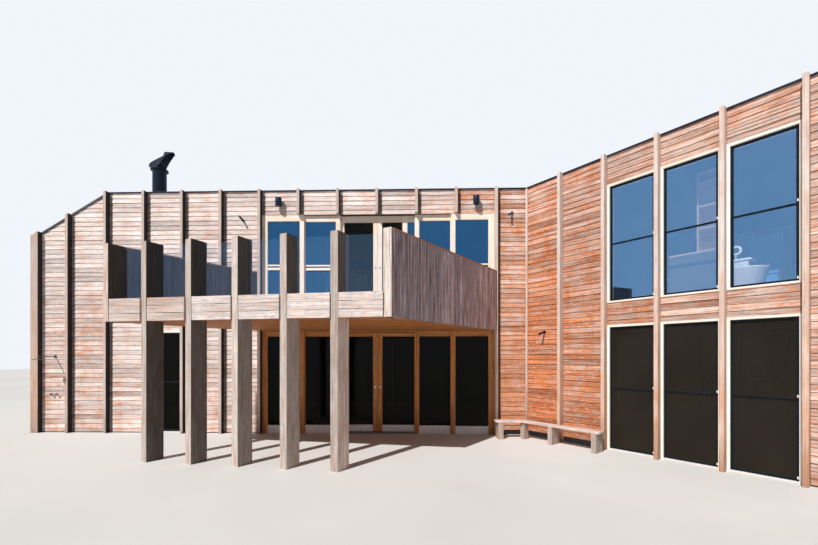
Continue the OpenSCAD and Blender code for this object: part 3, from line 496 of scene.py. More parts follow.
# the left front boards, with the fins' shadows painted on them as darker strips
timberLooks["leeBoards"] = {
    **timberLooks["leftBoards"], "lee": 0.42, "leeWidth": 0.082, "leeSoft": (-0.012, 0.008)}
timberLooks["postTimber"] = {**timberLooks["postPieces"], "run": "up"}
plainLooks = {
    # black metal; its blue is painted reflection of the sky
    "blackMetal": {
        "low": "#081729", "high": "#0f223b", "patch": 2.0, "tooth": 60.0, "rough": 0.38, "gloss": 0.2},
    "roofSheet": {
        "low": "#2f3135", "high": "#44474b", "patch": 0.8, "tooth": 30.0, "rough": 0.55, "bump": 0.2},
    # inner faces of the walls, dark grey: painted shade of the rooms
    "wallLining": {
        "low": "#303337", "high": "#3a3d41", "patch": 1.5, "tooth": 80.0, "rough": 0.85},
    # dark sash paint, whose blue is painted reflection of the sky
    "sashPaint": {
        "low": "#0a131c", "high": "#0f1d2b", "patch": 3.0, "tooth": 50.0, "rough": 0.25, "gloss": 0.15},
    # black rubber, also used for the painted shade under the boards
    "gasketRubber": {
        "low": "#08090a", "high": "#111214", "patch": 5.0, "tooth": 90.0, "rough": 0.7},
    "brightSteel": {
        "low": "#b9bcc0", "high": "#d5d8db", "patch": 6.0, "tooth": 120.0, "rough": 0.18, "metal": 1.0},
    "darkSteel": {
        "low": "#54575c", "high": "#7c7f84", "patch": 6.0, "tooth": 120.0, "rough": 0.25, "metal": 1.0},
    "whiteEnamel": {
        "low": "#f1f1ef", "high": "#fafaf8", "patch": 2.0, "tooth": 20.0, "rough": 0.12, "bump": 0.02},
}
# the panes' blue and brown tints are painted reflections of sky and deck
paneLooks = {
    "upperPane": {
        "low": "#87c1f9", "high": "#91c8fe", "rough": 0.03, "solid": 0.28, "backSolid": 0.85,
        # the left wing's deeper blue and its doors' dark grey are painted shade
        "gloss": 0.3, "mirror": 1.0, "leftWingShade": "#4585be",
        "doors": "#252525", "doorsDeep": (0.19, 0.39), "doorsPast": -1.9},
    "lowerPane": {
        "low": "#26211b", "high": "#2f2a23", "rough": 0.03, "solid": 0.7, "backSolid": 0.95,
        # the left wing's near-black is painted shade of the balcony
        "gloss": 0.1, "mirror": 0.0, "leftWingShade": "#080807"},
    "guardPane": {
        "low": "#84b8e8", "high": "#90c2f0", "rough": 0.02, "solid": 0.055, "gloss": 0.3, "mirror": 1.0},
}
finishes = {}
for make, looks in ((timber, timberLooks), (plain, plainLooks), (pane, paneLooks)):
    for name, look in looks.items():
        finishes[name] = make(name, look)
print("materials made:", len(finishes))

# Finishes of the frame's own nodes: the rounding of their edges where they show, then the nodes
nodeFinishes = (
    ("floorTimber", 0, ("ground_floor", "upper_floor")),
    ("roofSheet", 0, ("flat_roof",)),
    ("roofSheet", 0.003, ("sloped_roof_ends",)),
    ("blackMetal", 0.003, ("parapet_capping", "flue")),
    ("blackMetal", 0.002, ("flue_cowl", "wall_lights")),
    ("wallLining", 0, ("left_front_piers", "left_front_bands", "right_front_piers", "right_front_bands",
                       "left_back_piers", "left_back_bands", "right_back_piers", "right_back_bands",
                       "end_walls")),
    ("finTimber", 0.003, ("left_fins", "right_fins", "back_fins", "corner_boards")),
    ("trackTimber", 0.002, ("door_tracks",)),
    ("lowerPane", 0, ("left_door_glass", "right_door_glass", "ground_glass")),
    ("upperPane", 0, ("upper_glass",)),
    ("guardPane", 0.002, ("balcony_glass",)),
    ("brightSteel", 0.001, ("left_door_pull", "right_door_pull")),
    ("postTimber", 0, ("balcony_floor",)),
    ("capTimber", 0.003, ("balcony_side_caps",)),
    ("legTimber", 0.004, ("bench_legs",)),
    ("darkSteel", 0.002, ("outdoor_shower",)),
    ("whiteEnamel", 0.004, ("bathtub",)),
    ("whiteEnamel", 0.003, ("washstand",)),
    ("shelfTimber", 0.002, ("shelf_unit",)),
)
for finish, rounding, names in nodeFinishes:
    for name in names:
        shown = nodes[name]
        shown.data.materials.clear()
        shown.data.materials.append(finishes[finish])
        if rounding:
            weld = shown.modifiers.new("weld", "WELD")
            weld.merge_threshold = 0.0001
            roundEdges(shown, rounding, 40)
print("node finishes set")

# Lapped boards between the fins of every wall
cladding = {
    "exposure": 0.107,  # height of a course
    "lap": 0.0145,  # how far a board's foot stands proud of its head
    "under": 0.012,  # height that each board reaches behind the next one
    "gap": 0.004,  # space beside a fin
    "foot": 0.02,  # height of the lowest board over the ground
    "benchFoot": 0.107,
    "front": 0.002,  # the line of the boards' heads
    "wander": 0.0015,  # how far a board strays from that line
    "back": 0.0195,
    "least": 0.004,  # a lower strip of a course is left out
    "endJoint": 0.002,  # half of each butt joint on the end walls
    "endJoints": (2.0, 4.0),
    "plinthShade": (0.014, 0.0195),  # black strip behind the lowest board: painted shade of the recess under the boards
    "plinthShadeLap": 0.02,
    "seed": 7, "endSeed": 38,
}
boardTones = {
    # left wing: where fresh wood starts to fade and over which length, and how much of it with height
    "near": (0.5, 5.0), "nearFade": 0.35,
    "foot": (0.26, 3.2),  # more fresh wood at the foot, up to this height
    "rise": (0.09, 2.5),  # less of it up to this height
    "end": (0.22, 2.2, 2.0),  # more in the end bays, most at this height, over this reach
    "leftBright": 0.99, "leftNear": 0.08,
    "leftHigh": (0.1, 3.2, 1.3),  # brighter from this height, over this reach
    # right wing: share of fresh wood at each bay's foot and top, from the corner outwards
    "rightWarm": ((1.15, 0.42), (0.72, 0.3), (0.58, 0.28), (0.34, 0.2), (0.12, 0.1)),
    "rightBright": (0.92, 0.87, 0.87, 0.92, 0.92), "rightHigh": 0.04, "rightNear": 0.16,
    # from board to board
    "warmSpread": 0.16, "brightSpread": (0.85, 1.15), "darkShare": 0.2, "dark": 0.8,
}
plinthShade = newMesh()


def roofStart(face):
    return plan["leftBreak"] if face in (leftFront, leftBack) else plan["rightBreak"]


def underRoof(run):
    # height that boards reach under the sloped roof, at a distance from where it starts
    return levels["parapet"] - run * roofSlope - levels["roofEdge"] - levels["underRoof"]


def eased(value, start, reach):
    return min(1.0, max(0.0, (value - start) / reach))


def boardTone(face, u, z, pick):
    # lighter and darker boards, and how much fresh wood shows: most near the inner corner's foot
    tones, high = boardTones, z / levels["wallTop"]
    if face in (leftFront, leftBack, leftEndFace):
        near = (1.0 - eased(u, *tones["near"])) ** 2 if face is leftFront else 0.0
        warm = near * (1.0 - tones["nearFade"] * high)
        warm += tones["foot"][0] * (1.0 - eased(z, 0.0, tones["foot"][1]))
        warm -= tones["rise"][0] * eased(z, 0.0, tones["rise"][1])
        if u > leftFin(10):
            most, middle, reach = tones["end"]
            warm += most * (1.0 - eased(abs(z - middle), 0.0, reach))
        lift, start, reach = tones["leftHigh"]
        bright = tones["leftBright"] + lift * eased(z, start, reach) * (1 - near) + tones["leftNear"] * near
    else:
        bay = min(len(tones["rightWarm"]) - 1, max(0, int(u / plan["module"] + 0.1)))
        low, top = tones["rightWarm"][bay]
        warm = (1 - high) * low + high * top
        bright = tones["rightBright"][bay] + tones["rightHigh"] * high
        bright += tones["rightNear"] * max(0.0, 1.0 - u)
    warm += pick.uniform(-tones["warmSpread"], tones["warmSpread"])
    bright *= pick.uniform(*tones["brightSpread"])
    bright *= tones["dark"] if pick.random() < tones["darkShare"] else 1.0
    return (bright, min(1.0, max(0.0, warm)), 0.0)


def addCourses(mesh, face, u0, u1, z0, z1, pick, isSloped=False):
    # courses hang on the same lines on every face
    step = cladding["exposure"]
    course = int(z0 // step)
    while course * step < z1:
        foot, head = course * step, (course + 1) * step + cladding["under"]
        low, high = max(foot, z0), min(head, z1)
        course += 1
        if high - low < cladding["least"]:
            continue
        outline = [(u0, low), (u1, low), (u1, high), (u0, high)]
        if isSloped:
            outline = clipped(outline, lambda p: underRoof(p[0] - roofStart(face)) - p[1])
        if len(outline) < 3:
            continue
        front = cladding["front"] + pick.uniform(-cladding["wander"], cladding["wander"])
        lean = cladding["lap"] / (head - foot)
        addPlate(mesh, face, outline, lambda z: front + (z - foot) * lean, cladding["back"],
                 boardTone(face, 0.5 * (u0 + u1), low, pick), pick.uniform(0, 400))


def addBay(mesh, face, u0, u1, z0, pick):
    # one bay of boards between two fins, up to the roof
    a, b = u0 + cladding["gap"], u1 - cladding["gap"]
    isSloped = b > roofStart(face)
    addCourses(mesh, face, a, b, z0, levels["roofTop" if isSloped else "wallTop"], pick, isSloped)


# a black strip under the boards, painted shade of the recess there
def addPlinthShade(face, u0, u1, foot):
    top = foot + cladding["plinthShadeLap"]
    addPlate(plinthShade, face, [(u0, 0.0), (u1, 0.0), (u1, top), (u0, top)], *cladding["plinthShade"], (1, 0, 0), 0)


def wallOfBoards(name, face, fins, finish, windows, first, doors=(0, 0)):
    # fins are their middles from the corner outwards; windows and doors span from one fin to another
    mesh, pick, near = newMesh(), Random(cladding["seed"] + len(name)), 0.01
    benchEnd = {leftFront: leftFin(0), rightFront: rightFin(2)}.get(face, first - 1)
    edges = [first - halfFin] + fins
    for a, b in zip(edges, edges[1:]):
        u0, u1 = a + halfFin, b - halfFin
        isWindow = windows[0] - near < a and b < windows[1] + near
        if doors[0] - near < a and b < doors[1] + near:
            addBay(mesh, face, u0, u1, levels["upHead"], pick)
        elif isWindow and face is leftFront:
            addBay(mesh, face, u0, u1, levels["lowHead"], pick)
        elif isWindow:
            addCourses(mesh, face, u0 + cladding["gap"], u1 - cladding["gap"], levels["lowHead"],
                       levels["upSill"], pick)
            addBay(mesh, face, u0, u1, levels["upHead"], pick)
        else:
            # behind the bench the boards end higher, over a taller black strip of painted shade
            foot = cladding["benchFoot" if b < benchEnd + near else "foot"]
            addBay(mesh, face, u0, u1, foot, pick)
            addPlinthShade(face, u0, u1, foot)
    makePiece(name, mesh, finish)


def finsAndEnd(fin, start, past, end):
    # the fins' middles on one wing, with the two last bays and the blade at its end
    last = fin(past - 1) + plan["module"]
    return [fin(k) for k in range(start, past)] + [last, last + plan["endBay"], end - plan["blade"] + halfFin]


backCorner = -plan["depth"] * tan(turn / 2) + 0.01
# the left front boards take the finish with the painted fin shadows
wallOfBoards("leftFrontBoards", leftFront, finsAndEnd(leftFin, 0, 11, plan["leftEnd"]), "leeBoards",
             (leftFin(8), leftFin(9)), 0.02, doors=(leftFin(0), leftFin(6)))
wallOfBoards("rightFrontBoards", rightFront, finsAndEnd(rightFin, 1, 8, plan["rightEnd"]), "rightBoards",
             (rightFin(2), rightFin(5)), 0.02)
wallOfBoards("leftBackBoards", leftBack, finsAndEnd(leftFin, -2, 11, plan["leftEnd"]), "leftBoards",
             (leftFin(3), leftFin(6)), backCorner)
wallOfBoards("rightBackBoards", rightBack, finsAndEnd(rightFin, -2, 8, plan["rightEnd"]), "rightBoards",
             (rightFin(2), rightFin(5)), backCorner)


def endBoards(name, face, run, finish):
    # boards of an end wall, in three lengths
    mesh, pick = newMesh(), Random(cladding["endSeed"])
    joints = [plan["boards"], *cladding["endJoints"], plan["depth"] - plan["boards"]]
    for u0, u1 in zip(joints, joints[1:]):
        addCourses(mesh, face, u0 + cladding["endJoint"], u1 - cladding["endJoint"], cladding["foot"],
                   underRoof(run - plan["boards"]), pick)
    addPlinthShade(face, joints[0], joints[-1], cladding["foot"])
    makePiece(name, mesh, finish)


endBoards("leftEndBoards", leftEndFace, plan["leftEnd"] - plan["leftBreak"], "leftBoards")
endBoards("rightEndBoards", rightEndFace, plan["rightEnd"] - plan["rightBreak"], "rightBoards")
# the black strips under the boards are painted shade
makePiece("plinthShadeStrips", plinthShade, "gasketRubber")


# Timber frames with upright stiles and level rails, for doors and windows
frameTones = {
    "stile": (0.95, 1.03), "rail": (0.93, 1.0),  # brightness
    "warm": 0.35,  # spread of the fresh wood's share
    "bleached": 0.95, "bleachedBelow": 0.5,  # bottom rails at the ground
    "set": 0.0005,  # rails lie this much behind the stiles
}


def addFrame(mesh, face, u, v, z, widths, pick, warm=0.3):
    # widths are those of the left and right stile and of the bottom and top rail
    (u0, u1), (z0, z1), (left, right, bottom, top) = u, z, widths
    most = warm + frameTones["warm"]
    for span in ((u0, u0 + left), (u1 - right, u1)):
        tone = (pick.uniform(*frameTones["stile"]), pick.uniform(warm, most), 0)
        addBeam(mesh, face, span, v, z, "z", tone, pick.uniform(0, 300))
    thin = (v[0] + frameTones["set"], v[1] - frameTones["set"])
    bleached = frameTones["bleached"] if z0 < frameTones["bleachedBelow"] else 0.0
    for span, aged in (((z0, z0 + bottom), bleached), ((z1 - top, z1), 0)):
        tone = (pick.uniform(*frameTones["rail"]), pick.uniform(warm, most), aged)
        addBeam(mesh, face, (u0 + left, u1 - right), thin, span, "u", tone, pick.uniform(0, 300))


# Glazed walls of the left wing, given for the half next to the inner corner and mirrored for the other
doorWall = {
    "middle": 3.4,
    "frontPanel": (0.7325, 1.71), "rearPanel": (1.62, 2.54),
    "leaves": ((2.435, 2.72), (2.72, 3.398), (3.402, 4.365)),  # the upper floor's doors
    "front": (0.01, 0.06), "rear": (0.06, 0.105), "leafDepth": (0.13, 0.175),  # places into the wall
    "jamb": 0.13, "mullion": 0.10, "stile": 0.105,
    "leafStiles": ((0.105, 0.01), (0.105, 0.103), (0.103, 0.185)),
    "low": (0, 2.365), "lowRails": (0.185, 0.13),  # bottom and top
    "up": (2.7, 5.035), "upRails": (0.06, 0.145),
    "transomSpans": (((0.8625, 1.61), (0.0105, 0.0595)), ((1.725, 2.435), (0.0605, 0.1045))),
    "transoms": ((3.766, 3.824), (3.855, 3.891)), "transomBack": (3.822, 3.857),
    "transomIn": (0.012, 0.002),  # the joint lies behind the rails' fronts and backs
    "sill": ((2.54, 4.26), (0.01, 0.13), (2.7, 2.73)),
    "lowSeed": 11, "upSeed": 12, "leafSeed": 13,
}


def mirrored(span, isLeft):
    return (2 * doorWall["middle"] - span[1], 2 * doorWall["middle"] - span[0]) if isLeft else span


def addPanels(mesh, isLeft, storey, pick):
    # the panel in front and the fixed one behind it
    stiles = (doorWall["jamb"], doorWall["mullion"])
    z, rails = doorWall[storey], doorWall[storey + "Rails"]
    addFrame(mesh, leftFront, mirrored(doorWall["frontPanel"], isLeft), doorWall["front"], z,
             (stiles[::-1] if isLeft else stiles) + rails, pick)
    addFrame(mesh, leftFront, mirrored(doorWall["rearPanel"], isLeft), doorWall["rear"], z,
             (doorWall["stile"], doorWall["stile"]) + rails, pick)


mesh, pick = newMesh(), Random(doorWall["lowSeed"])
for isLeft in (False, True):
    addPanels(mesh, isLeft, "low", pick)
makePiece("doorWallPanels", mesh, "honeyTimber", replaces=["door_wall_sides"])

mesh, joints, pick = newMesh(), newMesh(), Random(doorWall["upSeed"])
for isLeft in (False, True):
    addPanels(mesh, isLeft, "up", pick)
    # each transom is two rails with a dark joint between them
    for u, v in doorWall["transomSpans"]:
        for rail in doorWall["transoms"]:
            addBeam(mesh, leftFront, mirrored(u, isLeft), v, rail, "u", (1.04, 0.1, 0), pick.uniform(0, 99))
        behind = (v[0] + doorWall["transomIn"][0], v[1] - doorWall["transomIn"][1])
        addBeam(joints, leftFront, mirrored(u, isLeft), behind, doorWall["transomBack"], "u", (1, 0, 0), 0)
    post = (doorWall["rearPanel"][1] - doorWall["stile"], doorWall["rearPanel"][1])
    addBeam(mesh, leftFront, mirrored(post, isLeft), (doorWall["rear"][1], doorWall["leafDepth"][0]),
            doorWall["up"], "z", (1, 0.3, 0), pick.uniform(0, 99))
makePiece("upperPanels", mesh, "creamTimber", replaces=["upper_door_wall"])
makePiece("transomJoints", joints, "sashPaint")

mesh, pick = newMesh(), Random(doorWall["leafSeed"])
for span, stiles in zip(doorWall["leaves"], doorWall["leafStiles"]):
    addFrame(mesh, leftFront, span, doorWall["leafDepth"], doorWall["up"], stiles + doorWall["upRails"], pick)
addBeam(mesh, leftFront, *doorWall["sill"], "u", (1, 0.3, 0), 5)
makePiece("upperDoorLeaves", mesh, "creamTimber", replaces=["upper_doors"])

# Sliding doors on two rollers each
leaf = {
    "span": (3.403, 4.355), "depth": (0.115, 0.16), "z": (0.034, 2.325), "rails": (0.151, 0.09),
    "roller": 0.014, "rollerWidth": 0.02, "rollerIn": 0.21, "rollerAt": (0.1275, 0.0343), "seed": 20,
}
for name, body, isLeft in (("leftDoorLeaf", "left_door", False), ("rightDoorLeaf", "right_door", True)):
    mesh, pick = newMesh(), Random(len(name) + leaf["seed"])
    span = mirrored(leaf["span"], isLeft)
    addFrame(mesh, leftFront, span, leaf["depth"], leaf["z"],
             (doorWall["stile"], doorWall["stile"]) + leaf["rails"], pick)
    for u in (span[0] + leaf["rollerIn"], span[1] - leaf["rollerIn"]):
        addTurned(mesh, onFace(leftFront, u, *leaf["rollerAt"]), (0, 1, 0),
                  [(0, leaf["roller"]), (leaf["rollerWidth"], leaf["roller"])], sides=20)
    makePiece(name, mesh, "honeyTimber", body=body, replaces=[body])

# Windows: cream frame, dark sash with a cross rail, its rubber lines and latches
window = {
    "width": 0.835, "frame": 0.04, "sill": 0.03, "depth": (0.0, 0.2),
    "sash": 0.03, "sashDepth": (0.035, 0.08), "rail": 0.02, "upRail": 1.1, "lowRail": 1.16,
    "paneRubber": 0.007, "paneRubberDepth": (0.048, 0.066), "paneRubberOut": 0.001,
    "sashRubber": (0.005, 0.005, 0.005, 0.008), "sashRubberDepth": (0.0345, 0.036),
    "latchOver": (0.045, 0.03),  # over the sash's bottom and over the cross rail
    # the two blocks of a latch: along the wing, into the wall, and up from its middle
    "latch": (((0.004, 0.022), (0.025, 0.036), (-0.014, 0.014)),
              ((0.008, 0.018), (0.017, 0.025), (-0.008, 0.024))),
    "warm": 0.1,
    "seed": 17,
}
windows = [(leftFront, leftFin(8), True, False)]
windows += [(rightFront, rightFin(k), True, True) for k in (2, 3, 4)]
windows += [(leftBack, leftFin(j), True, True) for j in (3, 4, 5)]
windows += [(rightBack, rightFin(k), True, True) for k in (2, 3, 4)]
frames, sashes, rubber, latches = newMesh(), newMesh(), newMesh(), newMesh()


def addWindow(face, u, z, rail, pick):
    # the cross rail's height is given over the sill's level
    edge, sill, sash, out = window["frame"], window["sill"], window["sash"], window["paneRubberOut"]
    addFrame(frames, face, u, window["depth"], z, (edge, edge, sill, edge), pick, window["warm"])
    a, b, low, high = u[0] + edge, u[1] - edge, z[0] + sill, z[1] - edge
    addFrame(sashes, face, (a, b), window["sashDepth"], (low, high), (sash,) * 4, pick)
    glassLeft, glassRight = a + sash, b - sash
    cross = (z[0] + rail, z[0] + rail + window["rail"])
    addBeam(sashes, face, (glassLeft, glassRight), window["sashDepth"], cross, "u", (1, 0, 0), 0)
    for bottom, top in ((low + sash, cross[0]), (cross[1], high - sash)):
        addFrame(rubber, face, (glassLeft - out, glassRight + out), window["paneRubberDepth"],
                 (bottom - out, top + out), (window["paneRubber"],) * 4, pick)
    addFrame(rubber, face, (a, b), window["sashRubberDepth"], (low, high), window["sashRubber"], pick)
    for middle in (low + window["latchOver"][0], cross[1] + window["latchOver"][1]):
        for along, into, up in window["latch"]:
            addBeam(latches, face, [glassRight + far for far in along], into, [middle + far for far in up],
                    "z", (1, 0, 0), 0)


pick = Random(window["seed"])
for face, fin, hasLow, hasUp in windows:
    span = (fin + halfFin, fin + halfFin + window["width"])
    if hasLow:
        addWindow(face, span, (0.0, levels["lowHead"]), window["lowRail"], pick)
    if hasUp:
        addWindow(face, span, (levels["upSill"], levels["upHead"]), window["upRail"], pick)
makePiece("windowFrames", frames, "creamTimber", replaces=["window_frames"])
makePiece("windowSashes", sashes, "sashPaint", replaces=["window_sashes"])
makePiece("windowRubber", rubber, "gasketRubber")
makePiece("windowLatches", latches, "whiteEnamel")

# Balcony: plan from the inner corner and the near right corners of the posts
balcony = {
    "lastPost": (-2.85, -3.09),
    "skew": 8.1,
    "postTurn": 25.5,
    "pitch": 0.837,
    "firstPitch": 0.744,
    "post": (0.145, 0.29),
    "sideWay": (0.584868, 0.811129),
    "side": 0.09,
    "fasciaBack": 0.078,
    "soffit": (2.365, 2.385),
    "top": 3.675,
    "laid": (0.01, 3.2),  # boards underfoot and overhead lie from here to here before the house
}
skew, postTurn = radians(balcony["skew"]), radians(balcony["postTurn"])
lean = tan(postTurn - skew)


def fromCorner(x, y):
    return (x + corner[0], y + corner[1])


frontWay, frontIn = (cos(skew), -sin(skew)), (sin(skew), cos(skew))
postBack, postIn = (-cos(postTurn), sin(postTurn)), (sin(postTurn), cos(postTurn))
lastPost = fromCorner(*balcony["lastPost"])


def postCorner(k):
    away = (6 - k) * balcony["pitch"] if k else 5 * balcony["pitch"] + balcony["firstPitch"]
    return add2(lastPost, frontWay, -away)


# Side walls: boards on both sides of a core, and a wedge that fills the corner at the house
sideIn = (-balcony["sideWay"][1], balcony["sideWay"][0])
rightSide = (lastPost, balcony["sideWay"], sideIn)
leftSide = (add2(postCorner(0), postBack, balcony["post"][0]), balcony["sideWay"], flip(sideIn))
sideWalls = {
    "boardWidth": 0.092, "boardThick": 0.022, "gap": 0.002, "chamfer": 0.004,
    "innerFrom": 0.2, "coreFrom": 0.25,
    "rise": 0.6, "warm": (0.0, 0.4), "warmRise": 0.35,  # brighter and fresher towards the house
    "seed": 23,
    "walls": (
        {"face": rightSide, "from": 0.004, "to": 3.66, "light": (1.1, 1.65),
         "wedge": [(-0.7094, -0.1213), (-0.694, -0.1), (-0.7325, -0.1), (-0.7325, 0.0), (-0.7824, -0.0687)]},
        {"face": leftSide, "from": 0.22, "to": 2.80, "light": (0.2, 0.38),
         "wedge": [(-6.2231, -0.062), (-6.1784, 0.0), (-6.1325, 0.0),
                   (-6.1325, -0.0902), (-6.1501, -0.1146)]},
    ),
}
mesh, pick = newMesh(), Random(sideWalls["seed"])
gap, inner = sideWalls["gap"], balcony["side"] - sideWalls["boardThick"]
bottom, top = balcony["soffit"][0], balcony["top"]
for wall in sideWalls["walls"]:
    face, last, u = wall["face"], wall["to"], wall["from"]
    while u < last - 0.01:
        far = min(u + sideWalls["boardWidth"], last)
        light = pick.uniform(*wall["light"]) * (1 + sideWalls["rise"] * u / last)
        tone = (light, pick.uniform(*sideWalls["warm"]) + sideWalls["warmRise"] * (u / last) ** 2, 0)
        for depth in ((0.0, sideWalls["boardThick"]), (inner, balcony["side"])):
            if depth[0] == 0.0 or u > sideWalls["innerFrom"]:
                addBeam(mesh, face, (u + gap, far - gap), depth, (bottom, top), "z", tone,
                        pick.uniform(0, 300), sideWalls["chamfer"])
        u = far
    addBeam(mesh, face, (sideWalls["coreFrom"], last), (sideWalls["boardThick"], inner), (bottom + gap, top),
            "u", (0.5, 0.2, 0), 3, 0.001)
    wedge = [fromCorner(x, y) for x, y in wall["wedge"]]
    addFloorPlate(mesh, wedge, (bottom, top), (0.95, 0.5, 0), 8, (1, 0))
makePiece("balconySideBoards", mesh, "darkTimber", replaces=["balcony_sides"])


def insideBalcony(outline, shrink):
    # cuts an outline to the space between the fascia, the side walls and the house
    lines = [(add2(lastPost, frontIn, balcony["fasciaBack"] + shrink), frontIn),
             (add2(lastPost, sideIn, balcony["side"] + shrink), sideIn),
             (add2(leftSide[0], flip(sideIn), balcony["side"] + shrink), flip(sideIn)),
             (add2(corner, (0, -1), shrink), (0, -1))]
    for (x0, y0), (nx, ny) in lines:
        outline = clipped(outline, lambda p: (p[0] - x0) * nx + (p[1] - y0) * ny)
    return outline


# Boards underfoot and overhead: height, pitch, gap, space at the edges, brightness and warmth
laidBoards = {
    "soffit": {"z": (balcony["soffit"][0], balcony["soffit"][1] - 0.001), "pitch": 0.118, "gap": 0.005,
               "edge": 0.001, "bright": (0.85, 1.1), "warm": (0.2, 0.9), "seed": 29},
    "deck": {"z": (levels["floor"], levels["floor"] + 0.004), "pitch": 0.12, "gap": 0.006,
             "edge": 0.004, "bright": (0.85, 1.05), "warm": (0.1, 0.5), "seed": 31},
}


def layBoards(look):
    mesh, pick = newMesh(), Random(look["seed"])
    y = corner[1] - balcony["laid"][0]
    while y > corner[1] - balcony["laid"][1]:
        front = y - look["pitch"] + look["gap"]
        outline = insideBalcony([(-9, front), (0, front), (0, y), (-9, y)], look["edge"])
        if len(outline) > 2:
            tone = (pick.uniform(*look["bright"]), pick.uniform(*look["warm"]), 0)
            addFloorPlate(mesh, outline, look["z"], tone, pick.uniform(0, 300), (1, 0))
        y -= look["pitch"]
    return mesh


makePiece("soffitBoards", layBoards(laidBoards["soffit"]), "soffitTimber",
          replaces=["balcony_soffit"])
makePiece("balconyDeck", layBoards(laidBoards["deck"]), "benchTimber")

# Fascia: three boards between each two posts, with worn, slightly bowed edges, on a bearer
fascia = {
    "from": 0.008, "to": 0.036, "back": 0.078, "low": 2.365, "high": 2.75, "boards": 3, "joint": 0.006,
    "bow": 0.0025, "waves": 5.0, "pieces": 8, "rounding": 0.004,
    "ends": (0.0005, 0.004), "proud": 0.003,  # space beside the posts, and how far boards differ in depth
    "bearerIn": (0.002, 0.012),  # the bearer ends over the boards' foot and under their top
    "bright": (0.88, 1.02), "brighter": 0.03,  # per bay, from the left
    "warm": (0.0, 0.28), "freshBays": 2, "fresh": 0.25,  # the first bays show more fresh wood
    "seed": 37,
}
mesh, pick = newMesh(), Random(fascia["seed"])
step = (fascia["high"] - fascia["low"] + fascia["joint"]) / fascia["boards"]
for k in range(6):
    face = (postCorner(k), frontWay, frontIn)
    pitch = balcony["pitch"] if k else balcony["firstPitch"]
    u0 = fascia["from"] * lean + fascia["ends"][0]
    u1 = pitch - balcony["post"][0] / cos(postTurn - skew) + fascia["to"] * lean + fascia["ends"][1]
    for i in range(fascia["boards"]):
        low, high = fascia["low"] + i * step, fascia["low"] + (i + 1) * step - fascia["joint"]
        edges = []
        for z in (low, high):
            isOuter = z == fascia["low"] or z > fascia["high"] - 0.001
            bow, wave = (0.0 if isOuter else fascia["bow"]), pick.uniform(0, 6)
            shares = [n / fascia["pieces"] for n in range(fascia["pieces"] + 1)]
            edges.append([(u0 + (u1 - u0) * share, z + bow * sin(wave + fascia["waves"] * share))
                          for share in shares])
        bright = pick.uniform(*fascia["bright"]) + fascia["brighter"] * k
        warm = pick.uniform(*fascia["warm"]) + (fascia["fresh"] if k < fascia["freshBays"] else 0.0)
        front = fascia["from"] + pick.uniform(0, fascia["proud"])
        addPlate(mesh, face, edges[0] + edges[1][::-1], front, fascia["to"], (bright, warm, 0),
                 pick.uniform(0, 300))
    u1 += (fascia["back"] - fascia["to"]) * lean
    addBeam(mesh, face, (u0, u1), (fascia["to"] - 0.001, fascia["back"]),
            (fascia["low"] + fascia["bearerIn"][0], fascia["high"] - fascia["bearerIn"][1]),
            "u", (0.5, 0.3, 0), k, 0.002)
fasciaPiece = makePiece("fasciaBoards", mesh, "fasciaTimber", replaces=["balcony_fascia"])
roundEdges(fasciaPiece, fascia["rounding"])

# Posts with weather checks: each is lofted ring by ring round grooves that open and close along it
posts = {
    "chamfer": 0.004,
    "rings": 30,
    "sideTone": (0.4, 0.19, 0.27, 0.53, 0.75, 1.17, 0.85),  # brightness of each post's wide side
    "upperSideShade": 0.2,  # painted shade: how much of that is left on the sides over the balcony's floor
    "sideWarm": (0.5, 0.35, 0.25, 0.05, 0.1, 0.35, 0.3),
    "frontTone": (1.14, 0.82, 0.88, 0.97, 0.86, 0.75, 1.14),
    "frontWarm": (0.45, 0.2, 0.15, 0.1, 0.2, 0.25, 0.1),
    "checks": (2, 5, 2, 5),  # grooves on the front, right, back and left sides
    "start": (-0.6, -0.8),  # where one may start, from the post's foot and top
    "run": (0.9, 2.4),
    "width": (0.004, 0.011),
    "depth": (0.006, 0.016),
    "drift": 0.006, "driftWaves": 1.7,  # how far a groove strays from its line
    "openWaves": 9,
    "closed": 0.12,  # share of its width that a closed groove keeps
    # painted shade: how bright the open grooves are
    "grooveShade": 0.35,
    "top": 3.7,
    "hung": (0, 6),  # these start at the soffit
    "seed": 40,
}


def checkOpen(check, z):
    # how far a groove is open at a height, from 0 to 1
    share = (z - check["from"]) / (check["to"] - check["from"])
    if share <= 0 or share >= 1:
        return 0.0
    return min(1.0, 3 * share, 3 * (1 - share)) * (0.75 + 0.25 * sin(check["wave"] + posts["openWaves"] * z))


def makeChecks(length, count, z0, z1, pick):
    checks = []
    for i in range(count):
        start = pick.uniform(z0 + posts["start"][0], z1 + posts["start"][1])
        checks.append({"at": length * (i + pick.uniform(0.3, 0.7)) / count,
                       "from": start, "to": start + pick.uniform(*posts["run"]),
                       "width": pick.uniform(*posts["width"]), "depth": pick.uniform(*posts["depth"]),
                       "wave": pick.uniform(0, 6)})
    return checks


def sidePoints(length, checks, z):
    # distances along one side of a post at a height, and how deep each point lies
    points = [(posts["chamfer"], 0.0)]
    for check in checks:
        isOpen = checkOpen(check, z)
        middle = check["at"] + posts["drift"] * sin(check["wave"] + posts["driftWaves"] * z)
        reach = 0.5 * check["width"] * max(posts["closed"], isOpen)
        points += [(middle - reach, 0.0), (middle, check["depth"] * isOpen), (middle + reach, 0.0)]
    return points + [(length - posts["chamfer"], 0.0)]


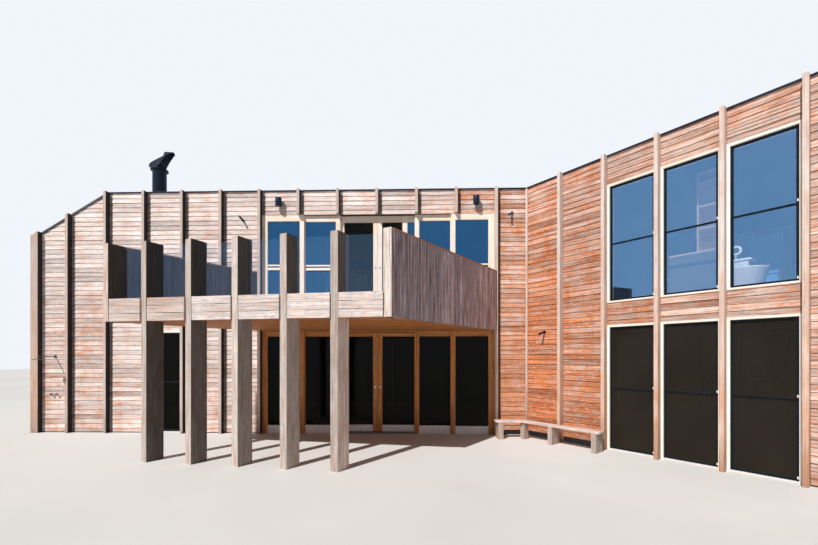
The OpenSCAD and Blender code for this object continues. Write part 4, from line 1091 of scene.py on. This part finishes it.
def addPost(mesh, k, z0, z1, pick):
    origin = postCorner(k)
    wide, deep = balcony["post"]
    # sides run round the post from its near right corner: front, left, back, right
    sides = [((0, 0), (1, 0), wide, (0, 1), 0), ((wide, 0), (0, 1), deep, (-1, 0), 3),
             ((wide, deep), (-1, 0), wide, (0, -1), 2), ((0, deep), (0, -1), deep, (1, 0), 1)]
    checks = [makeChecks(side[2], posts["checks"][side[4]], z0, z1, pick) for side in sides]
    base, count = len(mesh["points"]), 0
    for i in range(posts["rings"] + 1):
        z = z0 + (z1 - z0) * i / posts["rings"]
        # over the balcony's floor the wide sides get painted shade
        sideShade = posts["upperSideShade"] if z > levels["floor"] and k < 6 else 1
        for (start, way, length, into, kind), found in zip(sides, checks):
            tone = (posts["frontTone"][k], posts["frontWarm"][k], 0)
            if kind in (1, 3):
                tone = (posts["sideTone"][k] * sideShade, posts["sideWarm"][k], 0)
            for far, sunk in sidePoints(length, found, z):
                spot = add2(add2(start, way, far), into, sunk)
                point = add2(add2(origin, postBack, spot[0]), postIn, spot[1])
                mesh["points"].append((*point, z))
                mesh["grain"].append((z, far + 0.5 * kind, 31.0 * k))
                # points inside an open groove get painted shade
                mesh["tone"].append(tone if sunk == 0.0 else (tone[0] * posts["grooveShade"], tone[1], 0))
        count = count or len(mesh["points"]) - base
    past = len(mesh["points"])
    mesh["faces"].append(tuple(range(base + count - 1, base - 1, -1)))
    mesh["faces"].append(tuple(range(past - count, past)))
    for ring in range(base, past - count, count):
        for j in range(count):
            a, b = ring + j, ring + (j + 1) % count
            mesh["faces"].append((a, b, b + count, a + count))


mesh = newMesh()
for k in range(7):
    foot = balcony["soffit"][0] if k in posts["hung"] else 0.0
    addPost(mesh, k, foot, posts["top"], Random(posts["seed"] + k))
makePiece("balconyPosts", mesh, "postPieces", replaces=["balcony_posts"])

# Bench seat: one plank per wing, mitred in the corner
seat = {"z": (0.357, 0.395), "front": 0.52, "back": 0.335, "leftEnd": 0.8, "rightEnd": 1.8675,
        "joint": 0.002, "rounding": 0.005}
mesh, slant = newMesh(), tan(turn / 2)
for seed, (face, end) in enumerate(((leftFront, seat["leftEnd"]), (rightFront, seat["rightEnd"]))):
    outline = [(seat["front"] * slant + seat["joint"], -seat["front"]), (end, -seat["front"]),
               (end, -seat["back"]), (seat["back"] * slant + seat["joint"], -seat["back"])]
    points = [onFace(face, u, v, 0)[:2] for u, v in outline]
    addFloorPlate(mesh, points, seat["z"], (1.0, 0.2, 0), seed * 40, face[1])
bench = makePiece("benchSeat", mesh, "benchTimber", replaces=["bench_seat"])
roundEdges(bench, seat["rounding"])

# Small fittings, turned: cup pulls of the upper doors, the round mirror with its stand, and the tub's
# tap; profiles are rows of height and radius
fittings = {
    "pullAt": ((3.3465, 0.13, 3.84), (3.4535, 0.13, 3.84)),
    "pull": [(0, 0.022), (0.006, 0.022), (0.008, 0.02), (0.008, 0.017), (0.003, 0.014)],
    "mirror": 0.094, "mirrorRim": 0.042, "mirrorAt": (3.255, 2.2, 3.845),
    "standFoot": 3.63, "stand": [(0, 0.06), (0.008, 0.06), (0.014, 0.02), (0.03, 0.009), (0.112, 0.009)],
    "tapAt": (3.862, 1.32, 3.3),
    "tap": [(0, 0.016), (0.006, 0.016), (0.01, 0.011), (0.034, 0.011), (0.038, 0.018), (0.05, 0.018),
            (0.054, 0.008)],
}
mesh = newMesh()
for place in fittings["pullAt"]:
    addTurned(mesh, onFace(leftFront, *place), (0, -1, 0), fittings["pull"])
makePiece("upperDoorPulls", mesh, "brightSteel")

mesh, centre, rim = newMesh(), onFace(rightFront, *fittings["mirrorAt"]), fittings["mirrorRim"] / 2
angles = [2 * pi * i / 12 for i in range(12)]
addTurned(mesh, centre, (*flip(rightIn), 0),
          [(rim * sin(angle), fittings["mirror"] - rim + rim * cos(angle)) for angle in angles], True, 40)
addTurned(mesh, (*centre[:2], fittings["standFoot"]), (0, 0, 1), fittings["stand"])
makePiece("vanityMirror", mesh, "whiteEnamel")
mesh = newMesh()
addTurned(mesh, onFace(rightFront, *fittings["tapAt"]), (0, 0, 1), fittings["tap"])
makePiece("tubTap", mesh, "brightSteel")

# Standing seams on the two sloped ends of the roof
seams = {
    "pitch": 0.475, "width": 0.014, "height": 0.03,
    "first": 0.24, "edge": 0.1,  # space before the first and at the edges
    "foot": 0.02, "cut": 0.06, "footHeight": 0.012,  # the foot's set-back and its slanted end
    "sunk": 0.002,  # into the sheet
}
mesh = newMesh()
for face, start, end in ((leftFront, plan["leftBreak"], plan["leftEnd"]),
                         (rightFront, plan["rightBreak"], plan["rightEnd"])):
    v, past = seams["first"], end - seams["foot"]
    foot = levels["parapet"] - (past - start) * roofSlope
    top = levels["parapet"] - seams["edge"] * roofSlope
    while v < plan["depth"] - seams["edge"]:
        outline = [(start + seams["edge"], top - seams["sunk"]), (past, foot - seams["sunk"]),
                   (past, foot + seams["footHeight"]),
                   (end - seams["cut"], foot + (seams["cut"] - seams["foot"]) * roofSlope + seams["height"]),
                   (start + seams["edge"], top + seams["height"])]
        addPlate(mesh, face, outline, v, v + seams["width"], (1, 0, 0), 0)
        v += seams["pitch"]
makePiece("roofSeams", mesh, "roofSheet")

# Floor, world, lamps and camera
studio = {
    "floor": {"low": "#cfcdca", "high": "#d6d4d1", "patch": 0.3, "tooth": 8.0, "rough": 0.9},
    "floorReach": 60,
    "floorLevel": -0.001,
    "background": (0.88, 0.92, 0.97, 1.0),
    "fill": (0.68, 0.82, 1.0, 1.0),
    "fillStrength": 0.14,
    "sunPower": 4.35,
    "sunSize": 0.8,
    "sunColour": (1.0, 0.98, 0.955),
    "sunTurn": (43.0, 0.0, -36.0),
    "cameraAt": (-2.44, -8.84, 1.76),
    "cameraWay": (-0.026, 0.9997, 0.0),
    "lens": 17.03,
    "sensor": 36,
    "shift": 0.1033,
    "clip": (0.05, 300),
}
# a ceiling lamp over the washstand, seen through the right wing's upper windows
lamp = {
    "from": (4.0, 0.62, 4.85), "to": (3.35, 1.9, 3.45),
    "power": 170.0, "cone": 72.0, "soft": 0.5, "size": 0.15,
}
reach = studio["floorReach"]
floorData = bpy.data.meshes.new("studioFloor")
floorData.from_pydata([(-reach, -reach, 0), (reach, -reach, 0), (reach, reach, 0), (-reach, reach, 0)], [],
                      [(0, 1, 2, 3)])
floorData.materials.append(plain("floorPaint", studio["floor"]))
studioFloor = addObject("studioFloor", floorData)
studioFloor.location.z = studio["floorLevel"]

world = bpy.data.worlds.new("studio")
bpy.context.scene.world = world
world.use_nodes = True
tree = world.node_tree
tree.nodes.clear()
path = addNode(tree, "ShaderNodeLightPath")
seen = plus(tree, path.outputs["Is Camera Ray"], path.outputs["Is Glossy Ray"])
seen = plus(tree, seen, path.outputs["Is Transmission Ray"], clamp=True)
fill = addNode(tree, "ShaderNodeBackground", {"Color": studio["fill"], "Strength": studio["fillStrength"]})
backdrop = addNode(tree, "ShaderNodeBackground", {"Color": studio["background"], "Strength": 1.0})
both = addNode(tree, "ShaderNodeMixShader", {0: seen, 1: fill.outputs[0], 2: backdrop.outputs[0]})
addNode(tree, "ShaderNodeOutputWorld", {"Surface": both.outputs[0]})

sunData = bpy.data.lights.new("sun", "SUN")
sunData.energy = studio["sunPower"]
sunData.angle = radians(studio["sunSize"])
sunData.color = studio["sunColour"]
sun = addObject("sun", sunData)
sun.rotation_euler = [radians(a) for a in studio["sunTurn"]]

lampData = bpy.data.lights.new("roomLamp", "SPOT")
lampData.energy = lamp["power"]
lampData.spot_size = radians(lamp["cone"])
lampData.spot_blend = lamp["soft"]
lampData.shadow_soft_size = lamp["size"]
roomLamp = addObject("roomLamp", lampData)
lampFrom, lampTo = (Vector(onFace(rightFront, *lamp[key])) for key in ("from", "to"))
roomLamp.location = lampFrom
roomLamp.rotation_euler = (lampTo - lampFrom).to_track_quat("-Z", "Y").to_euler()

cameraData = bpy.data.cameras.new("camera")
cameraData.lens = studio["lens"]
cameraData.sensor_width = studio["sensor"]
cameraData.shift_y = studio["shift"]
cameraData.clip_start, cameraData.clip_end = studio["clip"]
camera = addObject("camera", cameraData)
x, y, height = studio["cameraAt"]
camera.location = (*fromCorner(x, y), height)
camera.rotation_euler = Vector(studio["cameraWay"]).to_track_quat("-Z", "Y").to_euler()
bpy.context.scene.camera = camera
bpy.context.scene.view_settings.view_transform = "Standard"
print("lights and camera set")
